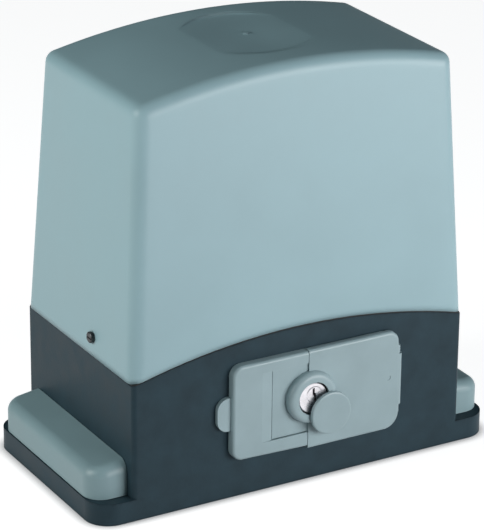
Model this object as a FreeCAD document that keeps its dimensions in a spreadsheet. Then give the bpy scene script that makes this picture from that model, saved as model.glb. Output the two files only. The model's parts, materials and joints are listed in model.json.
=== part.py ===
# Sliding gate operator: a cast base with a worm gearbox, a vertical motor, a lift-off hood,
# two foot covers, and a lockable release lever that uncouples the worm wheel from the output shaft.
#
# Frame, in millimetres: origin at the centre of the foot's underside, +Z up,
# -Y towards the release lever, +Y towards the gate, +X to the right seen from the lever's side.

import FreeCAD, Part
import math
import os

import Sketcher

V = FreeCAD.Vector
doc = FreeCAD.newDocument("gate_operator")

# ---------------------------------------------------------------- driving dimensions

SIZES = [
    # foot and base casting
    ("foot_width", 320), ("foot_depth", 160), ("foot_height", 16), ("foot_corner", 18),
    ("foot_floor", 8), ("rim", 4), ("body_half", 132), ("body_front", -79.5), ("body_back", 80),
    ("body_corner", 3.5), ("inner_corner", 3), ("wall", 6), ("floor_thick", 6),
    ("seam", 100), ("seam_rise", 17.7),
    ("lip_height", 5), ("lip_inset", 3.9),
    # anchors, levelling screws, cable inlet
    ("anchor_x", 145), ("anchor_y", 52), ("anchor_hole", 5.5), ("level_y", 30), ("level_hole", 4),
    ("cable_x", -95), ("cable_y", -20), ("cable_hole", 20),
    # gear chamber
    ("shaft_z", 60), ("chamber_left", -59), ("chamber_right", 91), ("chamber_front", -45),
    ("chamber_top", 112), ("gasket", 0.5), ("deck", 6), ("deck_screw", 2.5), ("screw_boss", 6),
    # motor and worm
    ("worm_x", 57), ("modulus", 3), ("wheel_teeth", 30), ("worm_pitch_radius", 12),
    ("wheel_width", 18), ("flank_gap", 0.28), ("rotor_radius", 28),
    ("stator_half", 50), ("stator_low", 142), ("stator_high", 203), ("bell_radius", 52),
    ("tie_offset", 38.2),
    # output shaft, clutch and pinion
    ("front_bore", 8.5), ("shaft_radius", 14), ("rear_bore", 12.5), ("pinion_seat", 10),
    ("pinion_module", 4), ("pinion_teeth", 17), ("pinion_start", 88), ("pinion_width", 26),
    ("sleeve_radius", 24), ("hub_radius", 27), ("hub_face", -10), ("dog_height", 5),
    ("key_top", 16.9), ("running", 0.04),
    # release lever, lock and dust cap
    ("hinge_x", 76.1), ("hinge_y", -82.9), ("barrel_radius", 3.1), ("barrel_low", 44.2),
    ("barrel_high", 83.2), ("ear_radius", 2), ("pin_radius", 1.2), ("lever_front", -86),
    ("lever_back", -81.4), ("lever_low", 26.4), ("lever_high", 101.2), ("plate_edge", 2.2),
    ("plate_left", -58), ("plate_low", 29.2), ("plate_high", 100.6), ("split_x", 2.1),
    ("tongue_left", -26.4), ("tongue_low", 40), ("tongue_high", 91.6), ("tongue_set", 1.4),
    ("lock_x", 3.7), ("lock_z", 66.5), ("lock_radius", 11.3), ("lock_face", -89),
    ("lock_seat", -88), ("lock_mouth", 12.2), ("plug_x", 4.5), ("plug_z", 69), ("plug_radius", 6),
    ("cam_reach", 20.6), ("boss_radius", 19.3), ("boss_front", -91), ("rod_x", -17.5),
    ("rod_z", 82.5), ("rod_radius", 3), ("cap_radius", 15.8), ("cap_x", 16.2), ("cap_z", 54),
    ("cap_back", -91.5), ("cap_front", -94.2), ("cap_pivot_x", 17.54), ("cap_pivot_z", 67.84),
    ("cap_pin", 1.2),
    # hood
    ("hood_half", 132.9), ("hood_front", -80.3), ("hood_back", 80.8), ("hood_taper", 0.0526),
    ("hood_front_lean", 0.0469), ("hood_back_lean", 0.0573), ("hood_top", 312),
    ("crown_edge", 292), ("crown_rise", 14.6), ("hood_wall", 3), ("hood_corner", 9),
    ("hood_edge", 8.5), ("seal", 0.8), ("hood_gap", 1.1), ("hood_screw_y", -21),
    ("hood_screw_z", 115),
    # foot covers
    ("cover_inner", 132.4), ("cover_outer", 159.2), ("cover_end", 70.5), ("cover_low", 16.4),
    ("cover_side", 38), ("cover_high", 42), ("cover_wall", 2.4), ("cover_edge", 8),
]


class Dim:
    """A length that carries its number and the expression that the document keeps for it."""

    def __init__(self, value, text):
        self.value = float(value)
        self.text = text

    def _with(self, other, sign, value, turned=False):
        other = dim(other)
        first, second = (other, self) if turned else (self, other)
        return Dim(value(first.value, second.value), f"({first.text} {sign} {second.text})")

    def __add__(self, other):
        return self._with(other, "+", lambda a, b: a + b)

    def __radd__(self, other):
        return self._with(other, "+", lambda a, b: a + b, True)

    def __sub__(self, other):
        return self._with(other, "-", lambda a, b: a - b)

    def __rsub__(self, other):
        return self._with(other, "-", lambda a, b: a - b, True)

    def __mul__(self, other):
        return self._with(other, "*", lambda a, b: a * b)

    def __rmul__(self, other):
        return self._with(other, "*", lambda a, b: a * b, True)

    def __truediv__(self, other):
        return self._with(other, "/", lambda a, b: a / b)

    def __neg__(self):
        return Dim(-self.value, f"(-1 * {self.text})")


def dim(x):
    return x if isinstance(x, Dim) else Dim(x, f"{float(x):.6f}")


class Names:
    """The driving dimensions by name."""


sheet = doc.addObject("Spreadsheet::Sheet", "Sizes")
S = Names()
for row, (alias, number) in enumerate(SIZES, start=1):
    sheet.set(f"A{row}", alias.replace("_", " "))
    sheet.set(f"B{row}", str(number))
    sheet.setAlias(f"B{row}", alias)
    setattr(S, alias, Dim(number, f"Sizes.{alias}"))
doc.recompute()

# ---------------------------------------------------------------- modelling helpers

PLANES = {"x": "YZ_Plane", "y": "XZ_Plane", "z": "XY_Plane"}
OUTPUT = []          # the finished sub-parts, in order


def bind(obj, path, value):
    """Give a property of an object the expression behind a length."""
    obj.setExpression(path, dim(value).text)


def place(obj, x=0, y=0, z=0):
    """Move an object, with its place kept as expressions."""
    for letter, value in (("x", x), ("y", y), ("z", z)):
        if dim(value).value != 0:
            bind(obj, f"Placement.Base.{letter}", value)
    return obj


def new_body(label):
    body = doc.addObject("PartDesign::Body", label)
    body.Label = label
    return body


def origin_part(body, role):
    return next(o for o in body.Origin.OriginFeatures if o.Role == role)


def new_sketch(body, axis, offset):
    """A sketch square to a row axis, at a distance along it; the XZ plane's normal is -Y."""
    sketch = body.newObject("Sketcher::SketchObject", f"{body.Name}_sketch")
    sketch.AttachmentSupport = [(origin_part(body, PLANES[axis]), "")]
    sketch.MapMode = "FlatFace"
    bind(sketch, "AttachmentOffset.Base.z", -dim(offset) if axis == "y" else dim(offset))
    return sketch


def pin_point(sketch, index, end, point):
    """Hold one end (or the centre, 3) of a sketch line at a point, by bound distances."""
    for kind, value in zip(("DistanceX", "DistanceY"), point):
        value = dim(value)
        number = sketch.addConstraint(Sketcher.Constraint(kind, -1, 1, index, end, value.value))
        sketch.setExpression(f"Constraints[{number}]", value.text)


def draw_polygon(sketch, points):
    points = [(dim(a), dim(b)) for a, b in points]
    first = sketch.GeometryCount
    count = len(points)
    for i, (a, b) in enumerate(points):
        c, d = points[(i + 1) % count]
        sketch.addGeometry(Part.LineSegment(V(a.value, b.value, 0), V(c.value, d.value, 0)))
    for i in range(count):
        following = first + (i + 1) % count
        sketch.addConstraint(Sketcher.Constraint("Coincident", first + i, 2, following, 1))
        pin_point(sketch, first + i, 1, points[i])


def draw_rectangle(sketch, low_x, low_y, high_x, high_y):
    draw_polygon(sketch, [(low_x, low_y), (high_x, low_y), (high_x, high_y), (low_x, high_y)])


def draw_rounded(sketch, low_x, low_y, high_x, high_y, radius):
    """A rectangle with equal round corners, anticlockwise from its lower left."""
    x0, y0, x1, y1, r = (dim(value) for value in (low_x, low_y, high_x, high_y, radius))
    sides = [((x0 + r, y0), (x1 - r, y0)), ((x1, y0 + r), (x1, y1 - r)),
             ((x1 - r, y1), (x0 + r, y1)), ((x0, y1 - r), (x0, y0 + r))]
    centres = [(x1 - r, y0 + r), (x1 - r, y1 - r), (x0 + r, y1 - r), (x0 + r, y0 + r)]
    lines = []
    for start, end in sides:
        line = Part.LineSegment(V(start[0].value, start[1].value, 0),
                                V(end[0].value, end[1].value, 0))
        lines.append(sketch.addGeometry(line))
        pin_point(sketch, lines[-1], 1, start)
        pin_point(sketch, lines[-1], 2, end)
    for i, (x, y) in enumerate(centres):
        circle = Part.Circle(V(x.value, y.value, 0), V(0, 0, 1), r.value)
        arc = sketch.addGeometry(Part.ArcOfCircle(circle, math.pi / 2 * (i - 1), math.pi / 2 * i))
        sketch.addConstraint(Sketcher.Constraint("Coincident", arc, 1, lines[i], 2))
        sketch.addConstraint(Sketcher.Constraint("Coincident", arc, 2, lines[(i + 1) % 4], 1))
        number = sketch.addConstraint(Sketcher.Constraint("Radius", arc, r.value))
        sketch.setExpression(f"Constraints[{number}]", r.text)


def draw_circle(sketch, x, y, radius):
    x, y, radius = dim(x), dim(y), dim(radius)
    index = sketch.addGeometry(Part.Circle(V(x.value, y.value, 0), V(0, 0, 1), radius.value))
    pin_point(sketch, index, 3, (x, y))
    number = sketch.addConstraint(Sketcher.Constraint("Radius", index, radius.value))
    sketch.setExpression(f"Constraints[{number}]", radius.text)


def draw_arch(sketch, half, spring, rise, reach, far):
    """The region on one side of an arch that spans -half to half and rises over its spring line.

    Straight shoulders run on from the arch's feet out to reach, and the region closes at far.
    """
    half, spring, rise, reach, far = dim(half), dim(spring), dim(rise), dim(reach), dim(far)
    radius = (half * half + rise * rise) / (2 * rise)
    centre = spring + rise - radius
    angle = math.asin(half.value / radius.value)
    arc = Part.ArcOfCircle(
        Part.Circle(V(0, centre.value, 0), V(0, 0, 1), radius.value),
        math.pi / 2 - angle, math.pi / 2 + angle)
    index = sketch.addGeometry(arc)
    right_foot, left_foot = (half, spring), (-half, spring)
    chain = [left_foot, (-reach, spring), (-reach, far), (reach, far), (reach, spring), right_foot]
    first = sketch.GeometryCount
    for (a, b), (c, d) in zip(chain, chain[1:]):
        line = Part.LineSegment(V(a.value, b.value, 0), V(c.value, d.value, 0))
        sketch.addGeometry(line)
    last = sketch.GeometryCount - 1
    for i in range(first, last):
        sketch.addConstraint(Sketcher.Constraint("Coincident", i, 2, i + 1, 1))
    for i, point in zip(range(first, last + 1), chain):
        pin_point(sketch, i, 1, point)
    pin_point(sketch, last, 2, right_foot)
    sketch.addConstraint(Sketcher.Constraint("Coincident", index, 2, first, 1))
    sketch.addConstraint(Sketcher.Constraint("Coincident", index, 1, last, 2))
    number = sketch.addConstraint(Sketcher.Constraint("Radius", index, radius.value))
    sketch.setExpression(f"Constraints[{number}]", radius.text)


def feature(body, kind, axis, low, high, *shapes):
    """Pad or pocket the drawn shapes between two planes square to a row axis."""
    low, high = dim(low), dim(high)
    before = body.Tip.Shape.Volume if kind == "Pocket" else 0
    against = (axis == "y") != (kind == "Pocket")
    sketch = new_sketch(body, axis, high if against else low)
    for draw, *values in shapes:
        draw(sketch, *values)
    result = body.newObject(f"PartDesign::{kind}", f"{body.Name}_{kind.lower()}")
    result.Profile = sketch
    bind(result, "Length", high - low)
    doc.recompute()
    if kind == "Pocket" and not result.Shape.Volume < before - 1e-6:
        raise RuntimeError(f"{result.Name} on {body.Label} cuts nothing")
    return result


def pad(body, axis, low, high, *shapes):
    return feature(body, "Pad", axis, low, high, *shapes)


def pocket(body, axis, low, high, *shapes):
    return feature(body, "Pocket", axis, low, high, *shapes)


def box(low_x, low_y, high_x, high_y):
    return (draw_rectangle, low_x, low_y, high_x, high_y)


def rounded(low_x, low_y, high_x, high_y, radius):
    return (draw_rounded, low_x, low_y, high_x, high_y, radius)


def disc(x, y, radius):
    return (draw_circle, x, y, radius)


def polygon(*points):
    return (draw_polygon, list(points))


def turn(body, axis, points):
    """Revolve a profile of (radius, distance along the axis) points about the body's own axis."""
    sketch = new_sketch(body, "z" if axis in "xy" else "y", 0)
    if axis == "x":
        draw_polygon(sketch, [(along, radius) for radius, along in points])
    else:
        draw_polygon(sketch, points)
    result = body.newObject("PartDesign::Revolution", f"{body.Name}_revolution")
    result.Profile = sketch
    result.ReferenceAxis = (sketch, ["H_Axis" if axis == "x" else "V_Axis"])
    result.Angle = 360
    doc.recompute()
    return result


def turned(label, axis, points, x=0, y=0, z=0):
    body = new_body(label)
    turn(body, axis, points)
    return place(body, x, y, z)


def round_edges(body, radius, wanted, kind="Fillet"):
    """Fillet or chamfer the edges of the body's tip that the test picks."""
    base = body.Tip
    picked = [f"Edge{i}" for i, edge in enumerate(base.Shape.Edges, start=1) if wanted(edge)]
    if not picked:
        raise RuntimeError(f"no edge picked on {body.Label}")
    result = body.newObject(f"PartDesign::{kind}", f"{body.Name}_{kind.lower()}")
    result.Base = (base, picked)
    bind(result, "Radius" if kind == "Fillet" else "Size", radius)
    doc.recompute()
    return result


def along(axis, low=-1e9, high=1e9, test=None):
    """An edge test: straight, parallel to an axis, with its middle between two places on it."""
    number = "xyz".index(axis)

    def wanted(edge):
        a, b = edge.Vertexes[0].Point, edge.Vertexes[-1].Point
        span = [abs(b[i] - a[i]) for i in range(3)]
        middle = edge.BoundBox.Center
        straight = span[number] > 0.5 and all(span[i] < 0.12 * span[number] for i in range(3)
                                              if i != number)
        return straight and low <= middle[number] <= high and (test is None or test(middle))

    return wanted


def repeat_around(body, axis, base, count):
    """Repeat a feature evenly about one of the body's own axes."""
    pattern = body.newObject("PartDesign::PolarPattern", f"{body.Name}_pattern")
    pattern.Originals = [base]
    pattern.Axis = (origin_part(body, f"{axis.upper()}_Axis"), [""])
    pattern.Angle = 360
    pattern.Occurrences = count
    body.Tip = pattern
    doc.recompute()
    return pattern


def keep(obj, label=None):
    """Mark an object as a finished sub-part, under its node's name."""
    if label:
        obj.Label = label
    OUTPUT.append(obj)
    return obj


def group(label, members):
    """Several equal solids as one sub-part."""
    compound = doc.addObject("Part::Compound", label)
    compound.Links = members
    for i, member in enumerate(members, start=1):
        member.Label = f"{label}_member_{i}"
    return keep(compound, label)


def cut(label, base, tool):
    result = doc.addObject("Part::Cut", label)
    result.Base = base
    result.Tool = tool
    base.Label = f"{label}_outer"
    tool.Label = f"{label}_hollow"
    return result


def cylinder_profile(radius, low, high, bevel=0.6):
    """The half section of a turned plug with a small bevel at both ends."""
    return [(0, low), (radius - bevel, low), (radius, low + bevel), (radius, high - bevel),
            (radius - bevel, high), (0, high)]


def hex_points(x, y, across):
    corner = across / math.sqrt(3)
    return [(x + corner * math.cos(math.radians(60 * i)),
             y + corner * math.sin(math.radians(60 * i))) for i in range(6)]


def hex_screw(label, axis, seat, head, across, radius, length, x, y, z, sign=1):
    """A hexagon head screw; its head stands on the seat plane and its shank runs back from it."""
    body = new_body(label)
    low, high = (0, head) if sign > 0 else (-head, 0)
    pad(body, axis, low, high, polygon(*hex_points(0, 0, across)))
    low, high = (-length, 0) if sign > 0 else (0, length)
    pad(body, axis, low, high, disc(0, 0, radius))
    shift = {"x": (x + seat, y, z), "y": (x, y + seat, z), "z": (x, y, z + seat)}[axis]
    return place(body, *shift)


# ---------------------------------------------------------------- base casting

DECK_SCREWS = [(S.chamber_left, S.chamber_front), (5, S.chamber_front - 2),
               (S.chamber_right + 1, S.chamber_front - 5), (S.chamber_left, 66), (40, 69),
               (S.chamber_right, 66)]


def lock_window():
    """The hole that the lock and its cam pass through, in the wall and in the plate before it."""
    return box(S.lock_x - 14, S.lock_z - 20, S.lock_x + 17, S.lock_z + 24.5)


def base_housing():
    """The die-cast base: foot flanges, arched tub, gear chamber, bearing seats and lugs."""
    body = new_body("base_housing")
    half_width, half_depth = S.foot_width / 2, S.foot_depth / 2
    pad(body, "z", 0, S.foot_height,
        rounded(-half_width, S.body_front, half_width, half_depth, S.foot_corner))
    pad(body, "z", 0, 130,
        rounded(-S.body_half, S.body_front, S.body_half, S.body_back, S.body_corner))
    # the seam arches over the front and the back and runs level along the sides
    pocket(body, "y", -90, 90, (draw_arch, S.body_half, S.seam, S.seam_rise, 170, 140))
    outer = S.body_half - S.lip_inset
    pad(body, "z", 90, 129,
        rounded(-outer, S.body_front + S.lip_inset, outer, S.body_back - S.lip_inset,
                S.inner_corner))
    pocket(body, "y", -90, 90,
           (draw_arch, S.body_half, S.seam + S.lip_height, S.seam_rise, 170, 140))
    inner = S.body_half - S.wall
    low, high = S.body_front + S.wall, S.body_back - S.wall
    pocket(body, "z", S.floor_thick, 130, rounded(-inner, low, inner, high, S.inner_corner))
    # flange trays under the foot covers, with anchor and levelling holes
    for side in (-1, 1):
        near, far = S.body_half + S.rim, half_width - S.rim
        left, right = (near, far) if side > 0 else (-far, -near)
        pocket(body, "z", S.foot_floor, S.foot_height,
               rounded(left, 4 - S.cover_end, right, S.cover_end - 4, 6))
        for end in (-1, 1):
            pocket(body, "z", 0, S.foot_floor,
                   disc(side * S.anchor_x, end * S.anchor_y, S.anchor_hole),
                   disc(side * S.anchor_x, end * S.level_y, S.level_hole))
    # gear chamber, its screw bosses and the bearing seats
    pad(body, "z", 3, S.chamber_top,
        box(S.chamber_left, S.chamber_front, S.chamber_right, S.body_back - 4.5))
    pocket(body, "z", S.foot_floor, S.chamber_top,
           box(S.chamber_left + S.wall, S.chamber_front + S.wall,
               S.chamber_right - S.wall, S.body_back - S.wall))
    for x, y in DECK_SCREWS:
        low = 92 if dim(y).value > 68 else 3
        pad(body, "z", low, S.chamber_top, disc(x, y, S.screw_boss))
    pad(body, "y", -52, S.chamber_front + S.wall, disc(0, S.shaft_z, 20.5))
    pocket(body, "y", -48, S.chamber_front + S.wall, disc(0, S.shaft_z, 17.5))
    pad(body, "y", 60, S.body_back, disc(0, S.shaft_z, 36))
    pocket(body, "y", 59, S.body_back, disc(0, S.shaft_z, 30))
    pad(body, "z", 3, 17, disc(S.worm_x, 0, 18))
    pocket(body, "z", 9, 17, disc(S.worm_x, 0, 14))
    for x, y in DECK_SCREWS:
        pocket(body, "z", S.chamber_top - 18, S.chamber_top, disc(x, y, S.deck_screw + 0.05))
    for angle in (45, 135, 225, 315):
        x = 36 * math.cos(math.radians(angle))
        z = 36 * math.sin(math.radians(angle))
        pocket(body, "y", 68, S.body_back, disc(x, S.shaft_z + z, 2.55))
    # guides of the release rod, and the way in for the lock behind the lever
    pad(body, "y", S.chamber_front - 3, S.chamber_front + 1, disc(S.rod_x, S.rod_z, 6))
    rod_hole = S.rod_radius + 0.05
    pocket(body, "y", -90, S.chamber_front + 8, disc(S.rod_x, S.rod_z, rod_hole))
    pocket(body, "y", -90, S.body_front + 7, lock_window())
    # cable inlet
    pocket(body, "z", 0, S.floor_thick, disc(S.cable_x, S.cable_y, S.cable_hole))
    # stiffening ribs in the motor-side bay
    for y in (-22, 34):
        pad(body, "z", 3, 76, box(S.chamber_right - 2, y - 1.5, inner + 2, y + 1.5))
    # lugs with open-topped slots for the hood's screws
    for side in (-1, 1):
        left, right = (inner - 6, inner + 1) if side > 0 else (-inner - 1, 6 - inner)
        pad(body, "z", 78, S.hood_screw_z + 7,
            box(left, S.hood_screw_y - 8, right, S.hood_screw_y + 8))
        pocket(body, "z", S.hood_screw_z - 2.4, S.hood_screw_z + 7,
               box(side * 100 - 32, S.hood_screw_y - 2.4, side * 100 + 32,
                   S.hood_screw_y + 2.4))
    return keep(body)


def gearbox_gasket():
    body = new_body("gearbox_gasket")
    low, high = S.chamber_top, S.chamber_top + S.gasket
    pad(body, "z", low, high, box(-66, -56, 99, 73.6))
    pocket(body, "z", low, high, box(-53, -39, 85, 62))
    for x, y in DECK_SCREWS:
        pocket(body, "z", low, high, disc(x, y, S.deck_screw + 0.3))
    return keep(body)


def gearbox_cover():
    """The deck over the gear chamber, with the motor's lower bell cast on it."""
    body = new_body("gearbox_cover")
    low = S.chamber_top + S.gasket
    top = low + S.deck
    pad(body, "z", low, top, rounded(-66, -56, 99, 73.6, 3))
    pad(body, "z", 104, top, disc(S.worm_x, 0, 25))
    pad(body, "z", low, S.stator_low, disc(S.worm_x, 0, S.bell_radius))
    for sx in (-1, 1):
        for sy in (-1, 1):
            pad(body, "z", low, S.stator_low,
                disc(S.worm_x + sx * S.tie_offset, sy * S.tie_offset, 7))
    pocket(body, "z", top + 3, S.stator_low, disc(S.worm_x, 0, S.bell_radius - 5.5))
    pocket(body, "z", 100, top + 3, disc(S.worm_x, 0, 20))
    for sx in (-1, 1):
        for sy in (-1, 1):
            pocket(body, "z", top + 2, S.stator_low,
                   disc(S.worm_x + sx * S.tie_offset, sy * S.tie_offset, 2.55))
    for x, y in DECK_SCREWS:
        pocket(body, "z", low, top, disc(x, y, S.deck_screw + 0.3))
    return keep(body)


# ---------------------------------------------------------------- bearings and seals

def bearing(label, axis, bore, outer, width, x, y, z):
    """A shielded ball bearing: two ring faces with the shields set back between them."""
    band = (outer - bore) * 0.26
    step = 0.7
    points = [(bore, 0), (bore + band, 0), (bore + band, step), (outer - band, step),
              (outer - band, 0), (outer, 0), (outer, width), (bore, width)]
    return keep(turned(label, axis, points, x, y, z))


def bearings():
    run = S.running
    bearing("output_rear_bearing", "y", S.rear_bore + run, dim(26), dim(15), 0, 60, S.shaft_z)
    bearing("output_front_bearing", "y", S.front_bore + run, dim(17.5), dim(10), 0, -48, S.shaft_z)
    bearing("worm_lower_bearing", "z", dim(6) + run, dim(14), dim(8), S.worm_x, 0, 9)
    bearing("worm_upper_bearing", "z", S.front_bore + run, dim(20), dim(12), S.worm_x, 0, 106)
    bearing("motor_top_bearing", "z", 7.5 + run, dim(16), dim(9), S.worm_x, 0, 227)
    keep(turned("motor_shaft_seal", "z",
                [(8.5 + run, 118), (20, 118), (20, 121.4), (12, 121.4), (12, 119.5),
                 (8.5 + run, 119.5)], S.worm_x, 0, 0))
    keep(turned("output_seal", "y",
                [(S.rear_bore + run, 79.2), (19, 79.2), (19, 85), (16, 85), (16, 81),
                 (S.rear_bore + run, 81)], 0, 0, S.shaft_z))


# ---------------------------------------------------------------- worm drive

def involute_half_gap(module, teeth, radius, backlash):
    """Half the width of a 20 degree involute tooth gap at a radius, widened by the backlash."""
    pressure = math.radians(20)
    base = module * teeth / 2 * math.cos(pressure)

    def involute(angle):
        return math.tan(angle) - angle

    local = math.acos(min(1.0, base / radius))
    half_tooth = math.pi / (2 * teeth) + involute(pressure) - involute(local)
    return radius * math.sin(math.pi / teeth - half_tooth) + backlash


def gap_outline(module, teeth, backlash, turn_angle=0.0):
    """A tooth gap's outline about the gear's centre, pointing along the first axis."""
    pitch = module * teeth / 2
    root, tip = pitch - 1.25 * module, pitch + module
    base = pitch * math.cos(math.radians(20))
    radii = [root, max(base, root + 0.3), pitch, tip, tip + 0.6]
    half = [involute_half_gap(module, teeth, max(r, base), backlash) for r in radii]
    half[-1] = half[-2] + (half[-2] - half[-3]) * 0.6 / module
    side = [(r, -w) for r, w in zip(radii, half)]
    outline = side + [(r, -w) for r, w in reversed(side)]
    c, s = math.cos(turn_angle), math.sin(turn_angle)
    return [(a * c - b * s, a * s + b * c) for a, b in outline]


def worm_wheel():
    """The bronze rim: each gap is a loft between two outlines turned by the worm's lead."""
    body = new_body("worm_wheel_rim")
    half = S.wheel_width / 2
    pitch = S.modulus * S.wheel_teeth / 2
    turn(body, "y", [(36.02, -half), (pitch + S.modulus - 1, -half),
                     (pitch + S.modulus, 1 - half), (pitch + S.modulus, half - 1),
                     (pitch + S.modulus - 1, half), (36.02, half)])
    lead = math.pi * S.modulus.value
    slope = lead / (2 * math.pi * S.worm_pitch_radius.value)
    swing = slope * (half.value + 0.2) / pitch.value
    sketches = []
    for y, angle in ((-half - 0.2, swing), (half + 0.2, -swing)):
        sketch = new_sketch(body, "y", y)
        draw_polygon(sketch, gap_outline(S.modulus.value, S.wheel_teeth.value,
                                         S.flank_gap.value, angle))
        sketches.append(sketch)
    gap = body.newObject("PartDesign::SubtractiveLoft", "wheel_gap")
    gap.Profile = sketches[0]
    gap.Sections = [sketches[1]]
    gap.Ruled = True
    doc.recompute()
    repeat_around(body, "y", gap, int(S.wheel_teeth.value))
    return keep(place(body, 0, 0, S.shaft_z))


def wheel_hub():
    body = new_body("worm_wheel_hub")
    bore = S.shaft_radius + S.running
    turn(body, "y", [(bore, S.hub_face), (S.hub_radius, S.hub_face), (S.hub_radius, -7), (36, -7),
                     (36, 7), (S.hub_radius, 7), (S.hub_radius, 14.2), (bore, 14.2)])
    slot = pocket(body, "y", S.hub_face, S.hub_face + S.dog_height, box(16, -5.2, 30, 5.2))
    repeat_around(body, "y", slot, 4)
    return keep(place(body, 0, 0, S.shaft_z))


def worm_shaft():
    """The motor shaft with a single-start right-hand worm cut on it."""
    body = new_body("worm_shaft")
    core = S.worm_pitch_radius - 1.25 * S.modulus + 0.25
    turn(body, "z", [(0, 9.2), (6, 9.2), (6, 17.4), (core, 17.4), (core, 126), (9, 126),
                     (9, 215), (7.5, 215), (7.5, 236), (0, 236)])
    pitch = math.pi * S.modulus
    tip = S.worm_pitch_radius + S.modulus
    lean = math.tan(math.radians(20))
    at_pitch = pitch / 4 - S.flank_gap
    at_tip = at_pitch - S.modulus * lean
    inner = core - 0.5
    at_inner = at_pitch + (S.worm_pitch_radius - inner) * lean
    # the thread passes shaft height on the wheel's side, half a turn from where it starts
    turns = 5
    start = S.shaft_z - pitch * (turns / 2)
    sketch = new_sketch(body, "y", 0)
    draw_polygon(sketch, [(inner, start - at_inner), (tip, start - at_tip), (tip, start + at_tip),
                          (inner, start + at_inner)])
    thread = body.newObject("PartDesign::AdditiveHelix", "worm_thread")
    thread.Profile = sketch
    thread.ReferenceAxis = (sketch, ["V_Axis"])
    thread.Mode = 0
    bind(thread, "Pitch", pitch)
    bind(thread, "Height", pitch * turns)
    thread.LeftHanded = False
    doc.recompute()
    return keep(place(body, S.worm_x, 0, 0))


def rotor_core():
    return keep(turned("rotor_core", "z",
                       [(9.02, 136), (25, 136), (26, 140), (S.rotor_radius, 140),
                        (S.rotor_radius, 205), (26, 205), (25, 209), (9.02, 209)],
                       S.worm_x, 0, 0))


# ---------------------------------------------------------------- motor

def tie_places():
    return [(S.worm_x + sx * S.tie_offset, sy * S.tie_offset) for sx in (-1, 1) for sy in (-1, 1)]


def motor_stator():
    body = new_body("motor_stator")
    half, low, high = S.stator_half, S.stator_low, S.stator_high
    pad(body, "z", low, high, box(-half, -half, half, half))
    round_edges(body, 13, along("z"), "Chamfer")
    pocket(body, "z", low, high, disc(0, 0, S.rotor_radius + 0.6))
    slot = pocket(body, "z", low, high, box(S.rotor_radius - 1, -1.6, 42, 1.6))
    repeat_around(body, "z", slot, 12)
    for sx in (-1, 1):
        for sy in (-1, 1):
            pocket(body, "z", low, high, disc(sx * S.tie_offset, sy * S.tie_offset, 2.6))
    return keep(place(body, S.worm_x, 0, 0))


def motor_windings():
    rings = []
    for low, high in ((S.stator_low - 13, S.stator_low - 0.2), (S.stator_high + 0.2,
                                                               S.stator_high + 13)):
        rings.append(turned("winding", "z",
                            [(31, low + 3), (34, low), (41, low), (45, low + 4), (45, high - 4),
                             (41, high), (34, high), (31, high - 3)], S.worm_x, 0, 0))
    return group("motor_windings", rings)


def motor_end_bell():
    """The ribbed upper end shield with its bearing seat."""
    body = new_body("motor_end_bell")
    low, top = S.stator_high, dim(240)
    radius = S.bell_radius
    turn(body, "z", [(radius - 5.5, low), (radius, low), (radius, 224), (radius - 8, 233),
                     (26, 233), (22, top), (0, top), (0, top - 3), (16, top - 3),
                     (16, 225), (20, 225), (22, 229), (radius - 9, 228),
                     (radius - 5.5, 222)])
    for sx in (-1, 1):
        for sy in (-1, 1):
            pad(body, "z", low, 227.2, disc(sx * S.tie_offset, sy * S.tie_offset, 7))
    for sx in (-1, 1):
        for sy in (-1, 1):
            pocket(body, "z", low, 227.2, disc(sx * S.tie_offset, sy * S.tie_offset, 2.6))
    rib = pad(body, "y", -1.25, 1.25,
              polygon((21, 232), (radius - 7, 232), (radius - 9, 236), (22, 238.5)))
    repeat_around(body, "z", rib, 8)
    return keep(place(body, S.worm_x, 0, 0))


def motor_tie_bolts():
    bolts = [hex_screw("bolt", "z", 227.2, 4, 8, 2.5, 100, x, y, 0) for x, y in tie_places()]
    return group("motor_tie_bolts", bolts)


# ---------------------------------------------------------------- output shaft and clutch

def output_flange():
    body = new_body("output_flange")
    turn(body, "y", [(26, 60), (29.95, 60), (29.95, 80), (42, 80), (42, 84), (41, 85), (19, 85),
                     (19, 79.2), (17, 79.2), (17, 75), (26, 75)])
    hole = pocket(body, "y", 79, 86, disc(36 * math.cos(math.pi / 4), 36 * math.sin(math.pi / 4),
                                          2.7))
    repeat_around(body, "y", hole, 4)
    return keep(place(body, 0, 0, S.shaft_z))


def output_flange_screws():
    screws = []
    for angle in (45, 135, 225, 315):
        x = 36 * math.cos(math.radians(angle))
        z = 36 * math.sin(math.radians(angle))
        body = new_body("screw")
        turn(body, "y", [(0, 70), (2.45, 70), (2.45, 85), (4.6, 85), (4.6, 87), (3.8, 87.6),
                         (0, 87.6)])
        screws.append(place(body, x, 0, S.shaft_z + z))
    return group("output_flange_screws", screws)


def output_shaft():
    body = new_body("output_shaft")
    r = S.shaft_radius
    end = S.pinion_start + S.pinion_width - 1
    turn(body, "y", [(0, -47.7), (8, -47.7), (S.front_bore, -47), (S.front_bore, -37.5),
                     (r - 0.6, -37.5), (r, -36.9), (r, 14.6), (18, 14.6), (18, 19), (r, 19), (r, 56),
                     (S.rear_bore, 56), (S.rear_bore, 87.4), (S.pinion_seat, 87.4),
                     (S.pinion_seat, end - 0.8), (S.pinion_seat - 0.8, end), (0, end)])
    pocket(body, "y", end - 18, end, disc(0, 0, 4))
    pocket(body, "z", 10, 15, box(-4, -36, 4, -12.8))
    pocket(body, "z", 6.5, 12, box(-3, 90, 3, end - 3))
    return keep(place(body, 0, 0, S.shaft_z))


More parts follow.
